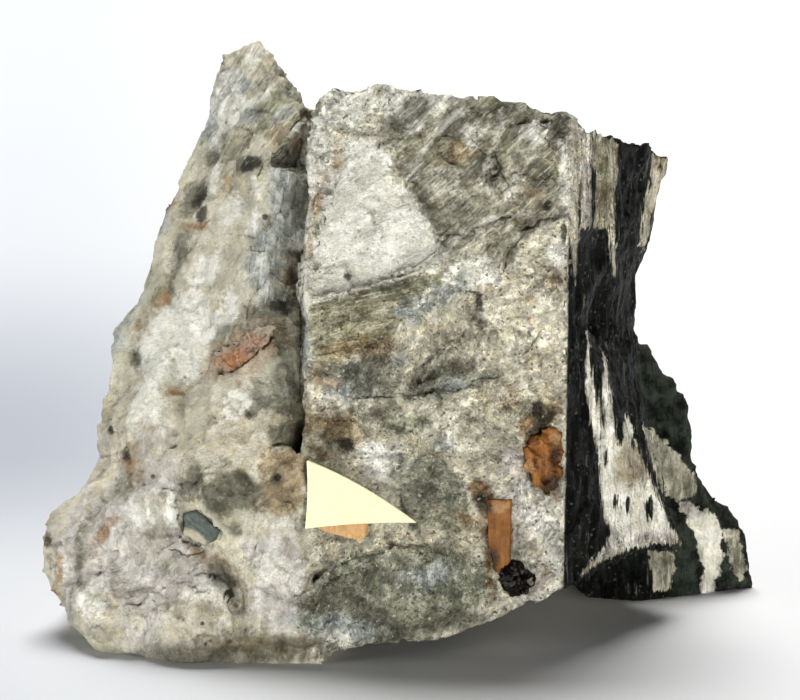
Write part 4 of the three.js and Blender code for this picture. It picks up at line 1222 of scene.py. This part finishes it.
def rusty_material():
    """Granular pinkish crystal, rusty at one end and grey at the other."""
    material, tree, shader = new_material("rusty_lavenite", Specular_IOR_Level=0.3)
    place = place_in_mm(tree)
    grains = use(tree, GRAINS, Place=place, Grain_Size=0.4, Warp=0.8)
    cloud = clouds(tree, place, 1.2, 6.0, 0.7).outputs["Fac"]
    base = blend(tree, span(tree, cloud, 0.4, 0.6), colour("8a6e5a"), colour("ab8a72"))
    rust = use(tree, RAGGED, Depth_Inside=stored(tree, "burnt"), Noise=cloud, Raggedness=2.5,
               Softness=0.6)["Mask"]
    base = blend(tree, maths(tree, "MULTIPLY", rust, 0.8), base, colour("a0683c"))
    base = blend(tree, span(tree, grains["Tone"], 0.7, 0.9, 0, 0.4), base, colour("bda88e"))
    base = blend(tree, span(tree, grains["Tone"], 0.3, 0.05, 0, 0.4), base, colour("6a5a4a"))
    inner = use(tree, RAGGED, Depth_Inside=stored(tree, "pale"), Noise=cloud, Raggedness=3.0,
                Softness=0.7)["Mask"]
    base = blend(tree, inner, colour("9a9482"), base)
    finish_with(tree, shader, base, grains["Height"], 1.4, span(tree, cloud, 0.3, 0.7, 0.5, 0.75))
    return material


def aegirine_material():
    """Black-brown glassy crystal with a few painted bright glints."""
    material, tree, shader = new_material("aegirine", Specular_IOR_Level=0.25)
    place = place_in_mm(tree)
    grains = use(tree, GRAINS, Place=place, Grain_Size=0.5, Warp=0.5)
    cloud = clouds(tree, place, 0.7, 4.0, 0.6).outputs["Fac"]
    base = blend(tree, span(tree, cloud, 0.4, 0.65), colour("050403"), colour("180f08"))
    # Painted glints on a few grains.
    base = blend(tree, span(tree, grains["Tone"], 0.93, 0.97, 0, 0.7), base, colour("8d8371"))
    finish_with(tree, shader, base, grains["Height"], 1.6, span(tree, cloud, 0.3, 0.7, 0.25, 0.5))
    return material


def blue_grey_material():
    """Dull slate-coloured crystal with faint slanting strokes."""
    material, tree, shader = new_material("blue_grey_crystal", Specular_IOR_Level=0.3)
    place = place_in_mm(tree)
    stroke = use(tree, STROKES, Place=place, Lie=-0.6, Length=2.0, Width=0.22)["Tone"]
    grains = use(tree, GRAINS, Place=place, Grain_Size=0.3, Warp=0.6)
    cloud = clouds(tree, place, 1.1, 3.0).outputs["Fac"]
    base = blend(tree, span(tree, cloud, 0.35, 0.65), colour("3c443e"), colour("4f584f"))
    base = blend(tree, span(tree, stroke, 0.5, 0.75, 0, 0.5), base, colour("79827a"))
    rust = use(tree, RAGGED, Depth_Inside=stored(tree, "burnt"), Noise=cloud, Raggedness=0.8,
               Softness=0.2)["Mask"]
    base = blend(tree, rust, base, colour("aaa18c"))
    height = maths(tree, "MULTIPLY_ADD", stroke, 0.08, maths(tree, "MULTIPLY", grains["Height"], 0.25))
    finish_with(tree, shader, base, height, 1.0, span(tree, cloud, 0.3, 0.7, 0.45, 0.6))
    return material


def paper_material():
    """Uncoated pale yellow paper with a faint tooth of fibres."""
    material, tree, shader = new_material(
        "pale_yellow_paper", Specular_IOR_Level=0.25, Roughness=0.85, Sheen_Weight=0.1
    )
    place = place_in_mm(tree)
    drawn_out = stretched(tree, place, (0, 0.4, 0), (0.5, 0.2, 0.12))
    fibres = clouds(tree, drawn_out, 1.0, 3.0, 0.6).outputs["Fac"]
    cloud = clouds(tree, place, 1.6, 3.0).outputs["Fac"]
    base = blend(tree, span(tree, fibres, 0.35, 0.65), colour("e0dcb1"), colour("ece8c2"))
    base = blend(tree, span(tree, cloud, 0.5, 0.7, 0, 0.35), base, colour("ece3ae"))
    finish_with(tree, shader, base, maths(tree, "MULTIPLY", fibres, 0.03), 1.0)
    return material


def floor_material():
    """Matt pale sheet that the rock stands on, with painted shade that makes it greyer far out on the
    left.
    """
    material, tree, shader = new_material("pale_floor", Roughness=0.9, Specular_IOR_Level=0.1)
    place = place_in_mm(tree)
    across, along, _ = add(tree, "SeparateXYZ", {"Vector": place}).outputs
    # Painted shade: greyer towards the left, with a darker band there further back.
    left = span(tree, across, -40, 5, 1.0, 0.0, smooth=True)
    band = maths(
        tree, "MULTIPLY", span(tree, along, 10, 66, smooth=True),
        span(tree, along, 72, 170, 1.0, 0.0, smooth=True),
    )
    base = blend(tree, left, colour("e6e7ea"), colour("d3d6dc"))
    base = blend(tree, maths(tree, "MULTIPLY", band, left), base, colour("aeb3be"))
    tree.links.new(base, shader.inputs["Base Color"])
    return material


# The pieces


def make_rock():
    """The rock, closed round its crystals, with its broken surface and its minerals."""
    shells = [grown_solid("rock_matrix", 0, 0)]
    shells += [grown_solid(node, SOCKET_FILL, sunk + FILL_SUNK) for node, sunk in SUNK.items()]
    mesh = fine_mesh(mesh_of(np.concatenate(shells)), ROCK_GRID)
    break_up(Surface(mesh))
    mesh = without_crumbs(thin_out(mesh))
    lay_minerals(Surface(mesh))
    return show("feldspar_rock", mesh, rock_material(), "rock", "rock_matrix")


def make_crystal(node, name, slot, material, relief, spots=None):
    """A crystal set in the rock. Its relief is in mm, and its spots are darker or paler."""
    solid = mesh_of(grown_solid(node, 0.06, SUNK[node]))
    surface = Surface(fine_mesh(solid, CRYSTAL_GRID))
    for label in ("burnt", "pale"):
        surface.keep(label, surface.in_spots((spots or {}).get(label, []), 3))
    heights = relief * ripple(surface.mm, 0.9, 3.0, 3)
    heights += broken_facets(surface.mm, 0.9, relief, 6.0)
    surface.move(heights)
    return show(name, surface.mesh, material, slot, node)


def make_crystals():
    """Every crystal that is a piece of its own."""
    flat = lavenite_material("lavenite_flat_face", "835420", "6a3f12", "97672f", 0.3, 0.45)
    broken = lavenite_material("lavenite_broken", "8a5722", "553211", "ad783c", 0.3, 0.36)
    tan = lavenite_material("lavenite_tan", "c69f6c", "b58a58", "d4b488", 0.3, 0.5)
    make_crystal(
        "lavenite_prism", "flat_lavenite_prism", "lavenite", flat, 0.05,
        {"burnt": [[7.9, 8.6, 0.5, 1.4], [7.6, 13.4, 0.4, 0.6]], "pale": [[8.4, 13.4, 0.8, 0.6]]},
    )
    make_crystal(
        "lavenite_wedge", "broken_lavenite_wedge", "lavenite", broken, 0.35,
        {
            "burnt": [[11.7, 20.0, 0.5, 1.9, -38], [12.9, 15.0, 0.9, 1.0, -20], [13.2, 17.4, 0.4, 1.0]],
            "pale": [[13.2, 19.0, 0.4, 0.6], [11.0, 16.6, 0.4, 0.6]],
        },
    )
    make_crystal("lavenite_under_pointer", "tan_lavenite", "lavenite", tan, 0.08)
    make_crystal(
        "lavenite_streak", "rusty_lavenite_streak", "rusty_lavenite", rusty_material(), 0.3,
        {"burnt": [[-14.6, 25.4, 1.5, 1.0, 28]], "pale": [[-13.0, 26.4, 3.1, 1.3, 28]]},
    )
    make_crystal("aegirine_knot", "black_aegirine_knot", "aegirine", aegirine_material(), 0.4)
    make_crystal(
        "blue_grey_crystal", "blue_grey_plate", "blue_grey", blue_grey_material(), 0.08,
        {"burnt": [[-17.3, 10.5, 1.4, 0.7, -30]]},
    )


def make_pointer():
    """The paper pointer: thinner than its solid, bowed up at its broad end."""
    surface = Surface(fine_mesh(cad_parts["paper_pointer"].data.copy(), 0.11))
    middle = surface.mm.mean(0)
    axes = np.linalg.svd(surface.mm - middle, full_matrices=False)[2]
    out = axes[2] * -np.sign(axes[2] @ SIGHT)
    lift = (surface.mm - middle) @ out
    broad_end = surface.right.min()
    from_tip = (surface.right.max() - surface.right) / (surface.right.max() - broad_end)
    bow = 0.3 * from_tip**2 * smooth_step(surface.up, 11, 17)
    thin = lift * 0.55 + 0.05 + bow
    moved = surface.mm + np.outer(thin - lift, out)
    surface.mesh.vertices.foreach_set("co", (moved * MM).astype(np.float32).ravel())
    surface.mesh.update()
    return show("paper_pointer_sheet", surface.mesh, paper_material(), "paper", "paper_pointer")


# Floor, light and camera


def make_floor():
    """A wide pale round sheet that rises gently far from the rock."""
    flat_reach, bend, last_slope, steps, around = 1.3, 0.4, 1.4, 12, 64
    rings = []
    for slope in np.linspace(0, last_slope, steps):
        rings.append((flat_reach + bend * math.sin(slope), bend * (1 - math.cos(slope))))
    vertices = [(0, 0, 0)]
    for reach, z in rings:
        for turn in np.linspace(0, 2 * math.pi, around, endpoint=False):
            vertices.append((reach * math.cos(turn), reach * math.sin(turn), z))
    faces = [(0, 1 + i, 1 + (i + 1) % around) for i in range(around)]
    for ring in range(steps - 1):
        for i in range(around):
            near = 1 + ring * around
            following = (i + 1) % around
            faces.append((near + i, near + around + i, near + around + following, near + following))
    mesh = bpy.data.meshes.new("floor_sheet")
    mesh.from_pydata(vertices, [], faces)
    mesh.materials.append(floor_material())
    floor = bpy.data.objects.new("floor_sheet", mesh)
    bpy.context.scene.collection.objects.link(floor)


def soft_light(name, place, aim, size, watts, tint):
    """An area light of that width and height in metres."""
    lamp = bpy.data.lights.new(name, "AREA")
    lamp.shape = "RECTANGLE"
    lamp.size, lamp.size_y = size
    lamp.energy = watts
    lamp.color = tint
    holder = bpy.data.objects.new(name, lamp)
    holder.location = place
    holder.rotation_euler = (Vector(aim) - Vector(place)).to_track_quat("-Z", "Y").to_euler()
    bpy.context.scene.collection.objects.link(holder)


def light_studio():
    """Daylight from a high window behind the rock, low fills in front, a dim surround."""
    soft_light("window_above", (-0.04, 0.44, 0.86), (0, 0, 0.02), (0.5, 0.5), 12.8, (1.0, 0.99, 0.96))
    soft_light("front_fill", (0.3, -1.0, 0.045), (0, 0, 0.03), (0.5, 0.08), 8.6, (1.0, 0.99, 0.96))
    soft_light("left_fill", (-0.95, -0.5, 0.05), (0, 0, 0.03), (0.5, 0.08), 8.2, (0.95, 0.97, 1.0))
    world = bpy.data.worlds.new("dim_surround")
    world.use_nodes = True
    sky = world.node_tree.nodes["Background"]
    sky.inputs["Color"].default_value = (0.92, 0.95, 1.0, 1)
    sky.inputs["Strength"].default_value = 0.02
    bpy.context.scene.world = world
    bpy.context.scene.view_settings.view_transform = "Standard"


def make_camera():
    """The photograph's view: 12 degrees above the table, from far enough for a long lens."""
    lens = bpy.data.cameras.new("camera")
    camera = bpy.data.objects.new("camera", lens)
    aim = in_frame(
        (PHOTO_WIDTH / 2 - MIDDLE_COLUMN) * PIXEL, (FOOT_ROW - PHOTO_HEIGHT / 2) * PIXEL, AIM_DEPTH
    )
    camera.location = aim - Vector(SIGHT) * EYE_DISTANCE * MM
    camera.rotation_euler = Vector(SIGHT).to_track_quat("-Z", "Y").to_euler()
    lens.sensor_width = 36
    lens.lens = lens.sensor_width * EYE_DISTANCE / (PHOTO_WIDTH * PIXEL)
    lens.clip_start = 0.01
    bpy.context.scene.collection.objects.link(camera)
    bpy.context.scene.camera = camera


make_camera()
make_floor()
light_studio()
make_rock()
make_crystals()
make_pointer()
